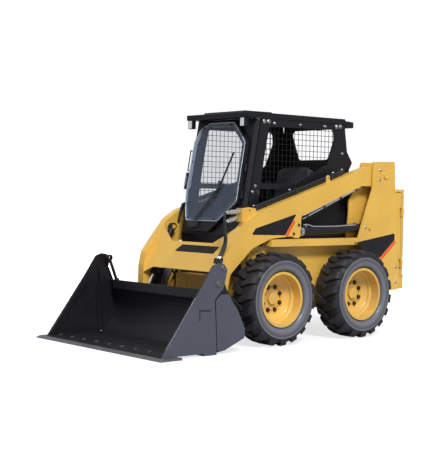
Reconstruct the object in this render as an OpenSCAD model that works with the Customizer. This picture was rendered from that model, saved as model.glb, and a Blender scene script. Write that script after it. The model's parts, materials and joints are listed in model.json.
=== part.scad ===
/* [Overall] */
// Distance between the front and rear axles
wheelbase = 986; // [940:2:1040]
// Rear bumper lip behind the rear axle
rear_overhang = 967; // [955:1:1100]
// Cutting edge tip ahead of the front axle
front_reach = 1374; // [1340:1:1500]
// Height of the cab roof above the ground
cab_height = 1955; // [1900:5:2050]
// Clear height under the belly plate
ground_clearance = 195; // [150:5:220]

/* [Wheels] */
// Tyre diameter over the lugs
tyre_d = 775; // [740:5:790]
// Tyre section width
tyre_w = 264; // [240:2:270]
// Distance between tyre centres across the machine
tread_width = 1261; // [1255:1:1270]
// Diameter of the rim's bead seat
rim_d = 440; // [400:5:460]
// Height of the tread lugs
lug_h = 24; // [15:1:30]
// Lugs in each of the two rows of a tyre
lug_count = 18; // [14:1:22]
// Diameter of the wheel bolt circle
bolt_circle_d = 203; // [180:1:220]
// Wheel bolts on each rim
bolt_count = 8; // [5:1:10]
// Diameter of the axle shafts
axle_d = 76; // [60:2:90]

/* [Chassis] */
// Width over the chassis side walls
chassis_w = 960; // [940:2:970]
// Thickness of the chassis plates
chassis_t = 10; // [8:1:14]
// Height of the fender rail's top
rail_top = 880; // [860:1:881]
// Height of the fender rail's side face
rail_h = 62; // [45:1:75]
// Width over the fender rails
rail_w = 1160; // [1120:5:1180]
// Width of the footwell box below the door
footwell_w = 584; // [500:4:640]
// Top of the footwell box
footwell_top = 556; // [520:2:600]
// Width of the tail frame round the engine
tail_w = 860; // [820:5:880]
// Radius of the rear door's upright edges
tail_corner_r = 90; // [60:5:110]
// Top of the tail frame
tail_top = 1296; // [1250:2:1320]
// Top of the rear bumper
bumper_top = 505; // [480:1:520]
// Underside of the rear bumper
bumper_bottom = 375; // [340:5:400]

/* [Boom] */
// Height of the boom pivot
pivot_h = 1447; // [1420:1:1480]
// Boom pivot behind the rear axle
pivot_back = 460; // [440:1:480]
// Thickness of each boom arm
arm_t = 80; // [60:1:84]
// Outer face of each boom arm from the middle
arm_outer = 565; // [560:1:568]
// Gap between an arm and the tower plates
arm_gap = 8; // [6:1:10]
// Thickness of the tower plates
tower_t = 12; // [8:1:16]
// Diameter of the boom pivot pins
pivot_pin_d = 70; // [50:2:80]
// Diameter of the bucket hinge pins
tilt_pin_d = 38; // [30:1:44]
// Thickness of the cross-member plate
cross_t = 12; // [8:1:20]
// Running clearance of pins in their bores
pin_fit = 0.05; // [0.03:0.01:0.1]

/* [Cylinders] */
// Outer diameter of the lift cylinder barrels
lift_barrel_d = 78; // [66:1:80]
// Diameter of the lift cylinder rods
lift_rod_d = 40; // [32:1:46]
// Outer diameter of the tilt cylinder barrels
tilt_barrel_d = 56; // [50:1:58]
// Diameter of the tilt cylinder rods
tilt_rod_d = 30; // [24:1:34]
// Outer diameter of the clam cylinder barrels
clam_barrel_d = 50; // [44:1:54]
// Diameter of the clam cylinder rods
clam_rod_d = 28; // [22:1:32]
// Diameter of the cylinder pins
cyl_pin_d = 36; // [30:1:38]

/* [Cab] */
// Width over the cab side walls
cab_w = 816; // [780:4:820]
// Thickness of the cab walls
cab_wall = 14; // [8:1:20]
// Lean of the cab's front face
front_lean = 10.2; // [5:0.1:13]
// Thickness of the door frame
door_t = 30; // [20:1:36]
// Width of the door frame's border
door_border = 46; // [30:1:60]
// Thickness of the door glass
glass_t = 6; // [4:1:10]
// Wire thickness of the window guards
wire_t = 5; // [3:0.5:8]
// Pitch of the window guards' wires
wire_pitch = 50; // [40:2:80]

/* [Bucket] */
// Width over the jaw's side plates
bucket_w = 1610; // [1600:2:1620]
// Width of the cutting edge
edge_w = 1750; // [1640:5:1800]
// Thickness of the cutting edge
edge_t = 18; // [12:1:25]
// Thickness of the bucket's side plates
side_t = 12; // [8:1:16]
// Thickness of the floor and of the back
shell_t = 10; // [8:1:16]
// Running gap between the jaw and the back
jaw_gap = 9; // [7:1:12]
// Diameter of the jaw pivot pins
jaw_pin_d = 40; // [30:1:46]

/* [Hidden] */

YELLOW = "#dcb055";
BLACK = "#2a2a30";
STEEL = "#5c5d68";
CHROME = "#c8ccd2";
RUBBER = "#3a3b42";
$fn = 48;
arc_steps = 6;
e = 0.01;

// The rear axle's place, so that the whole machine is centred on the origin
rear_axle_x = rear_overhang - (rear_overhang + wheelbase + front_reach) / 2;
front_axle_x = rear_axle_x + wheelbase;
axle_z = tyre_d / 2;
tip_x = front_axle_x + front_reach;
tail_x = rear_axle_x - rear_overhang;

// Points are given from the rear axle on the ground, and at() brings them to the frame
function at(x, z) = [rear_axle_x + x, z];
function ahead(x, z) = [front_axle_x + x, z];

pivot = at(-pivot_back, pivot_h);
arm_inner = arm_outer - arm_t;
tower_in = arm_outer + arm_gap;
tower_out = tower_in + tower_t;
inner_plate_out = arm_inner - arm_gap;
inner_plate_in = inner_plate_out - tower_t;
arm_mid = (arm_outer + arm_inner) / 2;
tyre_mid = tread_width / 2;
half_chassis = chassis_w / 2;
rail_bottom = rail_top - rail_h;
half_cab = cab_w / 2;
half_tail = tail_w / 2;

// Pins of the boom's linkage
lift_base = at(-253, 969);
lift_eye = at(672, 940);
tilt_top = ahead(239, 960);
tilt_hinge = ahead(489, 225);
tilt_arm_r = 200;
tilt_arm_angle = 84;
tilt_eye = tilt_hinge + tilt_arm_r * [cos(tilt_arm_angle), sin(tilt_arm_angle)];
coupler_face = tilt_hinge.x + 76;
coupler_low = tilt_hinge.y - 110;
coupler_high = tilt_hinge.y + 105;
jaw_hinge = ahead(760, 555);
clam_base = ahead(500, 150);
clam_eye = ahead(716, 677);

function unit(v) = v / norm(v);
function turned(v, a) = [v.x * cos(a) - v.y * sin(a), v.x * sin(a) + v.y * cos(a)];

// Arc points that round corner b between its neighbours a and c
function corner(a, b, c, r) = r <= 0 ? [b] :
    let (u = unit(a - b), v = unit(c - b), half = acos(max(-1, min(1, u * v))) / 2)
    let (m = b + unit(u + v) * r / sin(half), p = b + u * r / tan(half), q = b + v * r / tan(half))
    let (first = atan2(p.y - m.y, p.x - m.x), last = atan2(q.y - m.y, q.x - m.x))
    let (sweep = (last - first + 540) % 360 - 180)
    [for (i = [0:arc_steps]) m + r * [cos(first + sweep * i / arc_steps),
        sin(first + sweep * i / arc_steps)]];

function xy(p) = [p.x, p.y];
function radius_of(p) = len(p) > 2 ? p[2] : 0;

// A closed outline whose points may carry a corner radius as a third number
function rounded(path) = let (n = len(path))
    [for (i = [0:n - 1]) each corner(xy(path[(i + n - 1) % n]), xy(path[i]), xy(path[(i + 1) % n]),
        radius_of(path[i]))];

function arc(centre, r, from, to, steps = 10) =
    [for (i = [0:steps]) centre + r * [cos(from + (to - from) * i / steps),
        sin(from + (to - from) * i / steps)]];

// The place of a point with an optional corner radius, from either axle
function rear_pt(x, z, r = 0) = [rear_axle_x + x, z, r];
function front_pt(x, z, r = 0) = [front_axle_x + x, z, r];

module slab_xz(path, y_from, y_to) {
    translate([0, y_to, 0]) rotate([90, 0,
        0]) linear_extrude(height = y_to - y_from) polygon(rounded(path));
}

module slab_yz(path, x_from, x_to) {
    translate([x_from, 0, 0]) rotate([90, 0,
        90]) linear_extrude(height = x_to - x_from) polygon(rounded(path));
}

module box(from, to) {
    translate(from) cube(to - from);
}

module rod_y(at_xz, y_from, y_to, d) {
    translate([at_xz.x, y_from, at_xz.y]) rotate([-90, 0, 0]) cylinder(h = y_to - y_from, d = d);
}

// A round bar in the plane y between two points given as x and z
module bar_xz(from, to, y, d) {
    translate([from.x, y, from.y]) rotate([0, 90 - atan2(to.y - from.y, to.x - from.x), 0])
        cylinder(h = norm(to - from), d = d);
}

module both_sides() {
    children();
    mirror([0, 1, 0]) children();
}

module wheel_places() {
    for (x = [rear_axle_x, front_axle_x]) both_sides() translate([x, 0, axle_z]) children();
}

// Chassis

wall_front_x = front_axle_x + 164;
footwell_front_x = front_axle_x + 314;
footwell_back_x = front_axle_x - 236;
tail_wall_x = tail_x + 12 + tail_corner_r;
tower_back_x = rear_axle_x - 648;
shelf_top = rail_bottom;
sill_z = ground_clearance + 70;
belly_back_x = tail_wall_x + 120;
tower_foot_z = 386;

module chassis_wall() {
    slab_xz([[tower_back_x, tower_foot_z], rear_pt(-505, tower_foot_z, 20), rear_pt(-420, sill_z, 30),
        [wall_front_x, sill_z, 40], [wall_front_x, shelf_top], [tower_back_x, shelf_top]],
        half_chassis - chassis_t, half_chassis);
}

module fender_rail() {
    slab_xz([rear_pt(-40, rail_bottom), [front_axle_x - 7, rail_bottom, 6], [front_axle_x - 21,
        rail_top, 10],
        rear_pt(-40, rail_top)], half_chassis - chassis_t, rail_w / 2);
    box([rear_axle_x - 610, half_chassis, rail_bottom], [rear_axle_x - 40 + e, tower_in, rail_top]);
    box([rear_axle_x - 610, half_chassis, rail_bottom - chassis_t], [front_axle_x - 20,
        half_chassis + e, rail_bottom + e]);
}

module belly_plate() {
    slab_xz([[belly_back_x, tower_foot_z], rear_pt(-505, tower_foot_z), rear_pt(-420, sill_z),
        [footwell_back_x, sill_z], [footwell_back_x, sill_z + chassis_t], rear_pt(-416, sill_z + chassis_t),
        rear_pt(-501, tower_foot_z + chassis_t), [belly_back_x, tower_foot_z + chassis_t]],
        -half_chassis + chassis_t / 2, half_chassis - chassis_t / 2);
}

module footwell() {
    half = footwell_w / 2;
    difference() {
        box([footwell_back_x - chassis_t, -half, ground_clearance], [footwell_front_x, half, footwell_top]);
        box([footwell_back_x, -half + chassis_t, ground_clearance + chassis_t],
            [footwell_front_x - chassis_t, half - chassis_t, footwell_top - chassis_t]);
        box([footwell_back_x, -half + chassis_t, footwell_top - chassis_t - 1],
            [wall_front_x - chassis_t, half - chassis_t, footwell_top + 1]);
    }
}

module chassis_frame() color(YELLOW) {
    both_sides() {
        chassis_wall();
        fender_rail();
        box([rear_axle_x - 226, half_cab - 2 * cab_wall, shelf_top - chassis_t], [wall_front_x,
            half_chassis - chassis_t / 2, shelf_top]);
        box([wall_front_x - chassis_t, footwell_w / 2 - chassis_t, sill_z], [wall_front_x,
            half_chassis - chassis_t / 2, shelf_top]);
        box([footwell_back_x - chassis_t, footwell_w / 2 - e, sill_z], [wall_front_x,
            half_chassis - chassis_t / 2, sill_z + chassis_t]);
    }
    belly_plate();
    footwell();
}

housing_d = axle_d + 60;
housing_end = tyre_mid - 95;

module axle_housings() color(YELLOW) wheel_places() difference() {
    union() {
        rod_y([0, 0], half_chassis, housing_end, housing_d);
        rod_y([0, 0], half_chassis, half_chassis + 8, housing_d + 70);
    }
    rod_y([0, 0], half_chassis - 1, housing_end + 1, axle_d + 2 * pin_fit);
}

arch_r = tyre_d / 2 + 60;

module tower_outer_outline() {
    polygon(rounded(concat(
        [rear_pt(-287, 1571, 6), rear_pt(-582, 1580, 10), rear_pt(-590, 1376), rear_pt(-609, 1227),
            rear_pt(-648, 386),
            rear_pt(-505, 386)],
        arc(at(0, axle_z), arch_r, 172, 100),
        [rear_pt(-53, rail_bottom + 30, 10), rear_pt(-93, 881), rear_pt(-193, 1133), rear_pt(-271,
            1316, 40)])));
}

// The web behind the arm joins the tower's two plates
module tower_web(y_from, z_from) {
    slope = (648 - 609) / (1227 - tower_foot_z);
    slab_xz([rear_pt(-582, 1560), rear_pt(-570, 1560), rear_pt(-578, 1376), rear_pt(-597, 1227),
        rear_pt(-597 - (1227 - z_from) * slope, z_from), rear_pt(-609 - (1227 - z_from) * slope, z_from),
        rear_pt(-609, 1227), rear_pt(-590, 1376)], y_from, tower_out - tower_t / 2);
}

module tower() {
    difference() {
        union() {
            translate([0, tower_out, 0]) rotate([90, 0,
                0]) linear_extrude(height = tower_t) tower_outer_outline();
            slab_xz([rear_pt(-240, 1565, 20), rear_pt(-582, 1565, 10), rear_pt(-609, 1227),
                [rear_axle_x - 628, shelf_top],
                rear_pt(-40, shelf_top), rear_pt(-80, 1085, 80), rear_pt(-80, 1221, 60), rear_pt(-190,
                    1340, 40)],
                inner_plate_in, inner_plate_out);
            tower_web(inner_plate_out - tower_t / 2, rail_top);
            tower_web(half_chassis, tower_foot_z);
            rod_y(pivot, inner_plate_in - 10, tower_out, pivot_pin_d + 40);
        }
        rod_y(pivot, inner_plate_out, tower_in, pivot_pin_d + 60);
    }
    rod_y(pivot, inner_plate_in - 16, tower_out + 4, pivot_pin_d);
    rod_y(lift_base, inner_plate_in, tower_out + 6, cyl_pin_d);
}

module boom_towers() color(YELLOW) both_sides() tower();

engine_x = [belly_back_x, rear_axle_x - 240];

module engine_block() color(BLACK) {
    box([engine_x[0], -250, tower_foot_z + chassis_t], [engine_x[1], 250, 1060]);
}

// Hinges: a knuckle bored for a pin, and the pin with its two ears
hinge_pin_d = 12;
hinge_l = 60;

module knuckle(d) {
    difference() {
        union() {
            translate([0, 0, -hinge_l / 2]) cylinder(h = hinge_l, d = d);
            children();
        }
        translate([0, 0, -hinge_l]) cylinder(h = 2 * hinge_l, d = hinge_pin_d + 2 * pin_fit);
    }
}

module pin_and_ears(ear_from, ear_to) {
    translate([0, 0, -hinge_l / 2 - 9]) cylinder(h = hinge_l + 18, d = hinge_pin_d);
    for (z = [-hinge_l / 2 - 9, hinge_l / 2 + 1]) translate([0, 0, z]) linear_extrude(height = 8)
        polygon([[ear_from.x, ear_from.y], [ear_to.x, ear_from.y], [ear_to.x, ear_to.y], [ear_from.x,
            ear_to.y]]);
}

tail_hinge = [tail_wall_x - 4, half_tail + 13];
tail_hinge_z = [bumper_top + 120, tail_top - 180];
hood_hinge = [rear_axle_x - 222, tail_top + 18];

module tail_frame() color(YELLOW) {
    both_sides() {
        slab_xz([[tail_wall_x, bumper_top], [belly_back_x, bumper_top], [belly_back_x,
            tower_foot_z + chassis_t],
            rear_pt(-230, tower_foot_z + chassis_t), rear_pt(-230, tail_top), [tail_wall_x, tail_top]],
            half_tail - chassis_t, half_tail);
        box([rear_axle_x - 600, half_tail - e, tower_foot_z + chassis_t], [rear_axle_x - 588,
            half_chassis - chassis_t, shelf_top]);
        box([rear_axle_x - 600, half_tail - e, shelf_top - e], [rear_axle_x - 588, inner_plate_in,
            tail_top]);
        translate([hood_hinge.x, 230, hood_hinge.y]) rotate([90, 0, 0])
            pin_and_ears([-6, -18 - e], [6, 6]);
    }
    box([rear_axle_x - 240, -half_tail, shelf_top + 12], [rear_axle_x - 216, half_tail, tail_top]);
    for (z = tail_hinge_z) translate([tail_hinge.x, tail_hinge.y, z]) pin_and_ears([-2, -13 - e], [22, 6]);
}

tie_down = [belly_back_x - 50, (bumper_top + bumper_bottom) / 2];
tie_down_d = 44;

module rear_bumper() color(YELLOW) difference() {
    union() {
        translate([0, 0, bumper_bottom]) linear_extrude(height = bumper_top - bumper_bottom)
            polygon(rounded([[tail_x + 8, -half_tail, 70], [tail_x + 8, half_tail, 70], [belly_back_x,
                half_tail, 0],
                [belly_back_x, half_tail - 50, 0], [tail_x + 60, half_tail - 50, 40], [tail_x + 60,
                    -half_tail + 50, 40],
                [belly_back_x, -half_tail + 50, 0], [belly_back_x, -half_tail, 0]]));
        translate([0, 0, bumper_top - 12]) linear_extrude(height = 12)
            polygon(rounded([[tail_x, -half_tail - 6, 70], [tail_x, half_tail + 6, 70], [tail_wall_x,
                half_tail + 6, 0],
                [tail_wall_x, half_tail - 40, 0], [tail_x + 50, half_tail - 44, 40], [tail_x + 50,
                    -half_tail + 44, 40],
                [tail_wall_x, -half_tail + 40, 0], [tail_wall_x, -half_tail - 6, 0]]));
    }
    both_sides() rod_y(tie_down, half_tail - 51, half_tail + 1, tie_down_d);
}

// Cab

cab_bottom = shelf_top;
function front_x_at(z) = front_axle_x + 190 - (z - 930) * tan(front_lean);
roof_t = 46;
roof_under = cab_height - roof_t;
visor_x = front_axle_x + 117;

// One long window over the arm, and a small one below its front rail
module side_window() {
    polygon(rounded([rear_pt(56, 1852, 40), rear_pt(858, 1838, 30), rear_pt(900, 1640, 80),
        rear_pt(952, 1352, 20),
        rear_pt(520, 1352, 60), rear_pt(140, 1532, 40), rear_pt(48, 1742, 40)]));
}

module low_window() {
    polygon(rounded([rear_pt(690, 1304, 14), rear_pt(956, 1304, 14), rear_pt(978, 1180, 14),
        rear_pt(790, 1180, 30)]));
}

corner_back = 47.5;

module cab_side_outline() {
    polygon(rounded([[front_x_at(roof_under) - corner_back, roof_under], rear_pt(-79, roof_under, 10),
        rear_pt(-103, 1768, 40),
        rear_pt(-119, 1659, 40), rear_pt(-190, 1561, 20), rear_pt(-150, 1495, 30), rear_pt(-150,
            cab_bottom),
        [front_x_at(cab_bottom) - 90, cab_bottom], [front_x_at(900) - corner_back, 900, 20]]));
}

module cab_side() {
    translate([0, half_cab, 0]) rotate([90, 0, 0]) linear_extrude(height = cab_wall) difference() {
        cab_side_outline();
        side_window();
        low_window();
    }
}

module cab_side_left() color(BLACK) cab_side();
module cab_side_right() color(BLACK) mirror([0, 1, 0]) cab_side();

cab_in = half_cab - cab_wall;
rear_wall_x = rear_axle_x - 90;

module cab_rear() color(BLACK) translate([rear_wall_x - cab_wall, 0, 0]) rotate([90, 0,
    90]) linear_extrude(height = cab_wall) difference() {
    polygon([[-cab_in, cab_bottom], [cab_in, cab_bottom], [cab_in, roof_under], [-cab_in, roof_under]]);
    polygon(rounded([[-190, 1590, 40], [190, 1590, 40], [300, 1868, 40], [-300, 1868, 40]]));
}

module cab_roof() color(BLACK) {
    slab_xz([rear_pt(-85, roof_under), [visor_x, roof_under], [visor_x, cab_height, 6],
        rear_pt(-85, cab_height, 10)], -half_cab - 6, half_cab + 6);
    slab_xz([[visor_x - 374, cab_height - 12], [visor_x - 24, cab_height - 12],
        [visor_x - 44, cab_height + 16, 10], [visor_x - 364, cab_height + 18, 10]], -half_cab + 190,
            half_cab - 100);
}

// Everything on the leaning front face is drawn upright from its foot
door_foot_z = 926;
door_h = (roof_under - 25 - door_foot_z) / cos(front_lean);
front_panel_h = (roof_under - door_foot_z) / cos(front_lean) - 1;

module on_front() {
    translate([front_x_at(door_foot_z), 0, door_foot_z]) rotate([0, -front_lean, 0]) children();
}

door_half = 352;
panel_half = 380;
sill_half = cab_in - 1;

function door_outline(inset) = [[-268 + inset, inset, 50], [22 - inset * 0.4, inset, 50],
    [door_half - inset, 250 + inset * 0.4, 60], [door_half - inset, 790 - inset * 0.3, 60],
    [168 - inset * 0.5, door_h - inset, 40],
    [-165 + inset * 0.5, door_h - inset, 40], [-290 + inset * 0.8, 915 - inset * 0.6, 40],
    [-door_half + inset, 800 - inset * 0.3, 60], [-door_half - 10 + inset, 350, 90], [-338 + inset,
        190, 60]];

module front_slab(path, x_from, x_to) {
    on_front() slab_yz(path, x_from, x_to);
}

module cab_front() color(BLACK) difference() {
    union() {
        on_front() slab_yz([[-panel_half, -20], [panel_half, -20], [panel_half, front_panel_h],
            [-panel_half, front_panel_h]],
            -cab_wall - 8, -8);
        both_sides() on_front() translate([-8, panel_half, -20]) rotate([0, 0,
            45]) translate([-cab_wall, 0, 0])
            cube([cab_wall, (half_cab - panel_half) * sqrt(2), front_panel_h + 8]);
        slab_yz([[-sill_half, footwell_top + 4], [sill_half, footwell_top + 4], [sill_half,
            door_foot_z - 15], [-sill_half, door_foot_z - 15]],
            wall_front_x, wall_front_x + 12);
        slab_yz([[-sill_half, door_foot_z - 27], [sill_half, door_foot_z - 27], [sill_half,
            door_foot_z - 15], [-sill_half, door_foot_z - 15]],
            wall_front_x + 2, front_x_at(door_foot_z) - 12);
        door_hinge_pins();
    }
    front_slab(door_outline(30), -cab_wall - 20, 0);
}

hinge_heights = [330, 560];
hinge_y = door_half + 14;
hinge_x = 10;

module door_hinge_pins() {
    for (h = hinge_heights) on_front() translate([hinge_x, hinge_y, h]) pin_and_ears([-hinge_x - 12,
        -6], [6, 5]);
}

module door_frame() color(BLACK) {
    difference() {
        front_slab(door_outline(0), 0, door_t);
        front_slab([[-284, 130, 30], [108, 130, 30], [door_half - door_border, 290, 40],
            [door_half - door_border, 766, 50],
            [146, door_h - door_border, 30], [-148, door_h - door_border, 30], [-258,
                880, 30],
            [-door_half + door_border, 776, 50], [-door_half + door_border - 8, 350, 90]], -1, door_t + 1);
    }
    for (h = hinge_heights) on_front() translate([hinge_x, hinge_y, h]) knuckle(24)
        translate([-6, door_half - 6 - hinge_y, -hinge_l / 2]) cube([14, hinge_y - door_half - 2, hinge_l]);
    on_front() {
        box([-2, -door_half - 34, 370], [40, -door_half + 2, 520]);
        translate([door_t + 2, -door_half - 26, 540]) cylinder(h = 180, d = 10);
        for (z = [540, 720]) translate([8, -door_half - 26, z]) rotate([0, 90,
            0]) cylinder(h = door_t - 1, d = 10);
        for (z = [540, 720]) translate([8, -door_half - 26, z]) rotate([-90, 0, 0]) cylinder(h = 40,
            d = 10);
    }
}

module door_glass() color("#9fb4c4") front_slab([[-296, 92, 30], [126, 92, 30], [door_half - 14, 266, 50],
    [door_half - 14, 784, 55], [160, door_h - 14, 34], [-156, door_h - 14, 34], [-278,
        906, 34],
    [-door_half + 14, 792, 55], [-door_half + 4, 350, 90], [-324, 196, 60]], door_t + e, door_t + glass_t);

module cab_floor() color(BLACK) {
    box([rear_wall_x + 1, -cab_in, cab_bottom], [front_axle_x - 350, cab_in, cab_bottom + 10]);
    both_sides() box([front_axle_x - 350, footwell_w / 2 + 6, cab_bottom], [wall_front_x - 1, cab_in,
        cab_bottom + 10]);
}

module wire_grid(from, to) {
    for (x = [from.x:wire_pitch:to.x]) translate([x, from.y]) square([wire_t, to.y - from.y]);
    for (z = [from.y:wire_pitch * 0.95:to.y]) translate([from.x, z]) square([to.x - from.x + wire_t,
        wire_t]);
}

module window_guards() color(BLACK) both_sides() {
    translate([0, cab_in - e, 0]) rotate([90, 0, 0]) linear_extrude(height = wire_t) {
        wire_grid([rear_axle_x + 20, 1330], [rear_axle_x + 955, 1880]);
        wire_grid([rear_axle_x + 670, 1160], [rear_axle_x + 990, 1332]);
    }
}

seat_x = rear_axle_x + 330;
seat_z = cab_bottom + 10;

module seat_base() color(BLACK) {
    box([seat_x - 210, -200, seat_z], [seat_x + 210, 200, seat_z + 110]);
}

module seat() color(RUBBER) {
    box([seat_x - 220, -240, seat_z + 110.3], [seat_x + 250, 240, seat_z + 220]);
    slab_xz([[seat_x - 210, seat_z + 200], [seat_x - 90, seat_z + 200], [seat_x - 190, seat_z + 700,
        40], [seat_x - 290, seat_z + 700, 40]],
        -225, 225);
}

module lap_bar() color(BLACK) {
    both_sides() {
        bar_xz([seat_x - 60, seat_z + 420], [seat_x + 230, seat_z + 330], 300, 30);
        rod_y([seat_x - 60, seat_z + 420], 285, 315, 34);
        box([seat_x - 75, 300, seat_z + 400], [seat_x - 45, cab_in, seat_z + 440]);
    }
    rod_y([seat_x + 230, seat_z + 330], -318, 318, 34);
}

module control_levers() color(BLACK) {
    both_sides() {
        box([seat_x + 330, 250, cab_bottom + 10], [seat_x + 470, cab_in, cab_bottom + 60]);
        bar_xz([seat_x + 400, cab_bottom + 50], [seat_x + 440, cab_bottom + 420], 320, 22);
        bar_xz([seat_x + 440, cab_bottom + 420], [seat_x + 448, cab_bottom + 560], 320, 44);
    }
}

module work_lamps() color("#d8dde0") {
    both_sides() slab_yz([[318, roof_under - 78, 8], [376, roof_under - 78, 8], [376, roof_under - 0.3, 8], [318, roof_under - 0.3, 8]],
        visor_x - 26, visor_x + 12);
    both_sides() slab_xz([rear_pt(-104.3, 1874), rear_pt(-104.3, 1940), rear_pt(-210, 1934, 10),
        rear_pt(-210, 1880, 10)],
        half_cab - 100, half_cab - 10);
}

// Boom

module arm_outline() {
    polygon(rounded([rear_pt(-530, 1540, 60), rear_pt(-250, 1531, 60), rear_pt(1120, 1107, 140),
        rear_pt(1245, 1030, 100),
        [tilt_hinge.x - 70, 838, 60], [tilt_hinge.x + 12, 735, 80], [tilt_hinge.x + 38, 620, 60],
        [tilt_hinge.x + 42, 225 - 42, 41], [tilt_hinge.x - 42, 225 - 42, 41], [tilt_hinge.x - 34, 480, 60],
        [tilt_hinge.x - 60, 600, 80], rear_pt(1180, 806, 160), rear_pt(965, 886, 200), rear_pt(725,
            904, 30),
        rear_pt(680, 888, 34), rear_pt(618, 888, 34), rear_pt(612, 1073, 24), rear_pt(-157, 1349, 60),
            rear_pt(-530, 1349, 60)]));
}

module boom_arm() {
    difference() {
        union() {
            translate([0, arm_outer, 0]) rotate([90, 0, 0]) linear_extrude(height = arm_t) arm_outline();
            rod_y(tilt_top, arm_inner - 64, arm_inner + 5, cyl_pin_d);
            rod_y(tilt_top, arm_inner - 6, arm_inner + 5, cyl_pin_d + 30);
        }
        rod_y(pivot, arm_inner - 1, arm_outer + 1, pivot_pin_d + 2 * pin_fit);
        rod_y(tilt_hinge, arm_inner - 1, arm_outer + 1, tilt_pin_d + 2 * pin_fit);
        slab_xz([rear_pt(560, 870), rear_pt(735, 870), rear_pt(735, 1000, 50), rear_pt(600, 1000, 30)],
            arm_mid - 28, arm_mid + 28);
    }
}

module boom_arm_left() color(YELLOW) {
    boom_arm();
    coupler_bracket();
}

module boom_arm_right() color(YELLOW) mirror([0, 1, 0]) boom_arm();

cross_top = [front_axle_x + 380, 843];
cross_low = [front_axle_x + 504, 613];

cross_lean = atan2(cross_low.x - cross_top.x, cross_top.y - cross_low.y);
cross_h = norm(cross_top - cross_low);

module boom_crossmember() color(YELLOW) translate([cross_low.x, 0, cross_low.y]) rotate([0, -cross_lean, 0])
    slab_yz([[-arm_inner, -62], [-arm_inner + 100, 0, 60], [arm_inner - 100, 0, 60], [arm_inner, -62],
        [arm_inner, cross_h + 150], [arm_inner - 80, cross_h + 90, 60], [arm_inner - 208, cross_h, 30],
        [-arm_inner + 208, cross_h, 30], [-arm_inner + 80, cross_h + 90, 60], [-arm_inner,
            cross_h + 150]], -cross_t, 0);

edge_line = [at(-157, 1349), at(612, 1073)];
function under_arm(share, drop) = edge_line[0] + (edge_line[1] - edge_line[0]) * share
    + drop * turned(unit(edge_line[1] - edge_line[0]), -90);

// Steel line under each arm, and the two couplers seated on the bracket of the left elbow
bracket_face = rear_axle_x + 1294;
coupler_line = [[at(1296, 1119), at(1424, 1106)], [at(1298.4, 1066), at(1402, 1036)]];
line_gap = 13;

module arm_hydraulics() color(CHROME) {
    both_sides() bar_xz(under_arm(0.12, 7.4), under_arm(0.94, 7.4), arm_mid + 20, 14);
    for (i = [0, 1]) {
        from = coupler_line[i][0];
        to = coupler_line[i][1];
        bar_xz(from, to, arm_mid + (i == 0 ? line_gap : -line_gap), 30);
        bar_xz(from + (to - from) * 0.25, from + (to - from) * 0.75,
            arm_mid + (i == 0 ? line_gap : -line_gap), 38);
    }
}

module coupler_bracket() {
    difference() {
        slab_xz([rear_pt(1100, 1090), rear_pt(1118, 1140, 12), rear_pt(1200, 1150, 16), rear_pt(1282,
            1134, 14),
            rear_pt(1284, 1030), rear_pt(1200, 1030)], arm_mid - 6, arm_mid + 6);
        rod_y(at(1180, 1124), arm_mid - 7, arm_mid + 7, 20);
    }
    box([bracket_face - 11, arm_mid - 36, 1030], [bracket_face, arm_mid + 36, 1142]);
}

hose_d = 22;
hose_route = [[at(1442, 1104), at(1464, 1076), at(1452, 950), at(1444, 870), at(1466, 792), at(1514, 726)],
    [at(1420, 1031), at(1438, 1012), at(1438, 950), at(1434, 870), at(1466, 792), at(1510, 724)]];

// Two hoses from the couplers down the front of the left arm into their clamp block
module arm_hoses() color(BLACK) {
    for (i = [0, 1]) {
        route = hose_route[i];
        y = arm_mid + (i == 0 ? line_gap : -line_gap);
        for (k = [1:len(route) - 1]) bar_xz(route[k - 1], route[k], y, hose_d);
        for (p = route) rod_y(p, y - hose_d / 2 - 1, y + hose_d / 2 + 1, hose_d + 6);
    }
    slab_xz([rear_pt(1489.5, 735), rear_pt(1530, 735, 6), rear_pt(1542, 690, 6), rear_pt(1501.5, 690)], arm_mid - 32,
        arm_mid + 32);
}

// Cylinders, drawn from base pin to eye along the line between them

module along(from, to, y) {
    translate([from.x, y, from.y]) rotate([0, -atan2(to.y - from.y, to.x - from.x), 0]) children();
}

module barrel(reach, d, rod_d, eye_d, eye_w, pin_d) {
    difference() {
        union() {
            rotate([90, 0, 0]) cylinder(h = eye_w, d = eye_d, center = true);
            translate([eye_d / 2 - 10, 0, 0]) rotate([0, 90, 0]) cylinder(h = reach - eye_d / 2 + 10,
                d = d);
        }
        rotate([90, 0, 0]) cylinder(h = eye_w + d, d = pin_d + 2 * pin_fit, center = true);
        translate([eye_d / 2 + 20, 0, 0]) rotate([0, 90, 0]) cylinder(h = reach, d = rod_d + 2 * pin_fit);
    }
}

module rod(length, start, d, eye_d, eye_w, pin_d) {
    difference() {
        union() {
            translate([start, 0, 0]) rotate([0, 90, 0]) cylinder(h = length - start, d = d);
            translate([length, 0, 0]) rotate([90, 0, 0]) cylinder(h = eye_w, d = eye_d, center = true);
        }
        translate([length, 0, 0]) rotate([90, 0, 0]) cylinder(h = eye_w + d, d = pin_d + 2, center = true);
    }
}

lift_len = norm(lift_eye - lift_base);
tilt_len = norm(tilt_eye - tilt_top);
clam_len = norm(clam_eye - clam_base);
tilt_y = arm_inner - 39;
clam_pin_d = 30;
clam_y = bucket_w / 2 - side_t - jaw_gap - side_t - 32;

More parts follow.
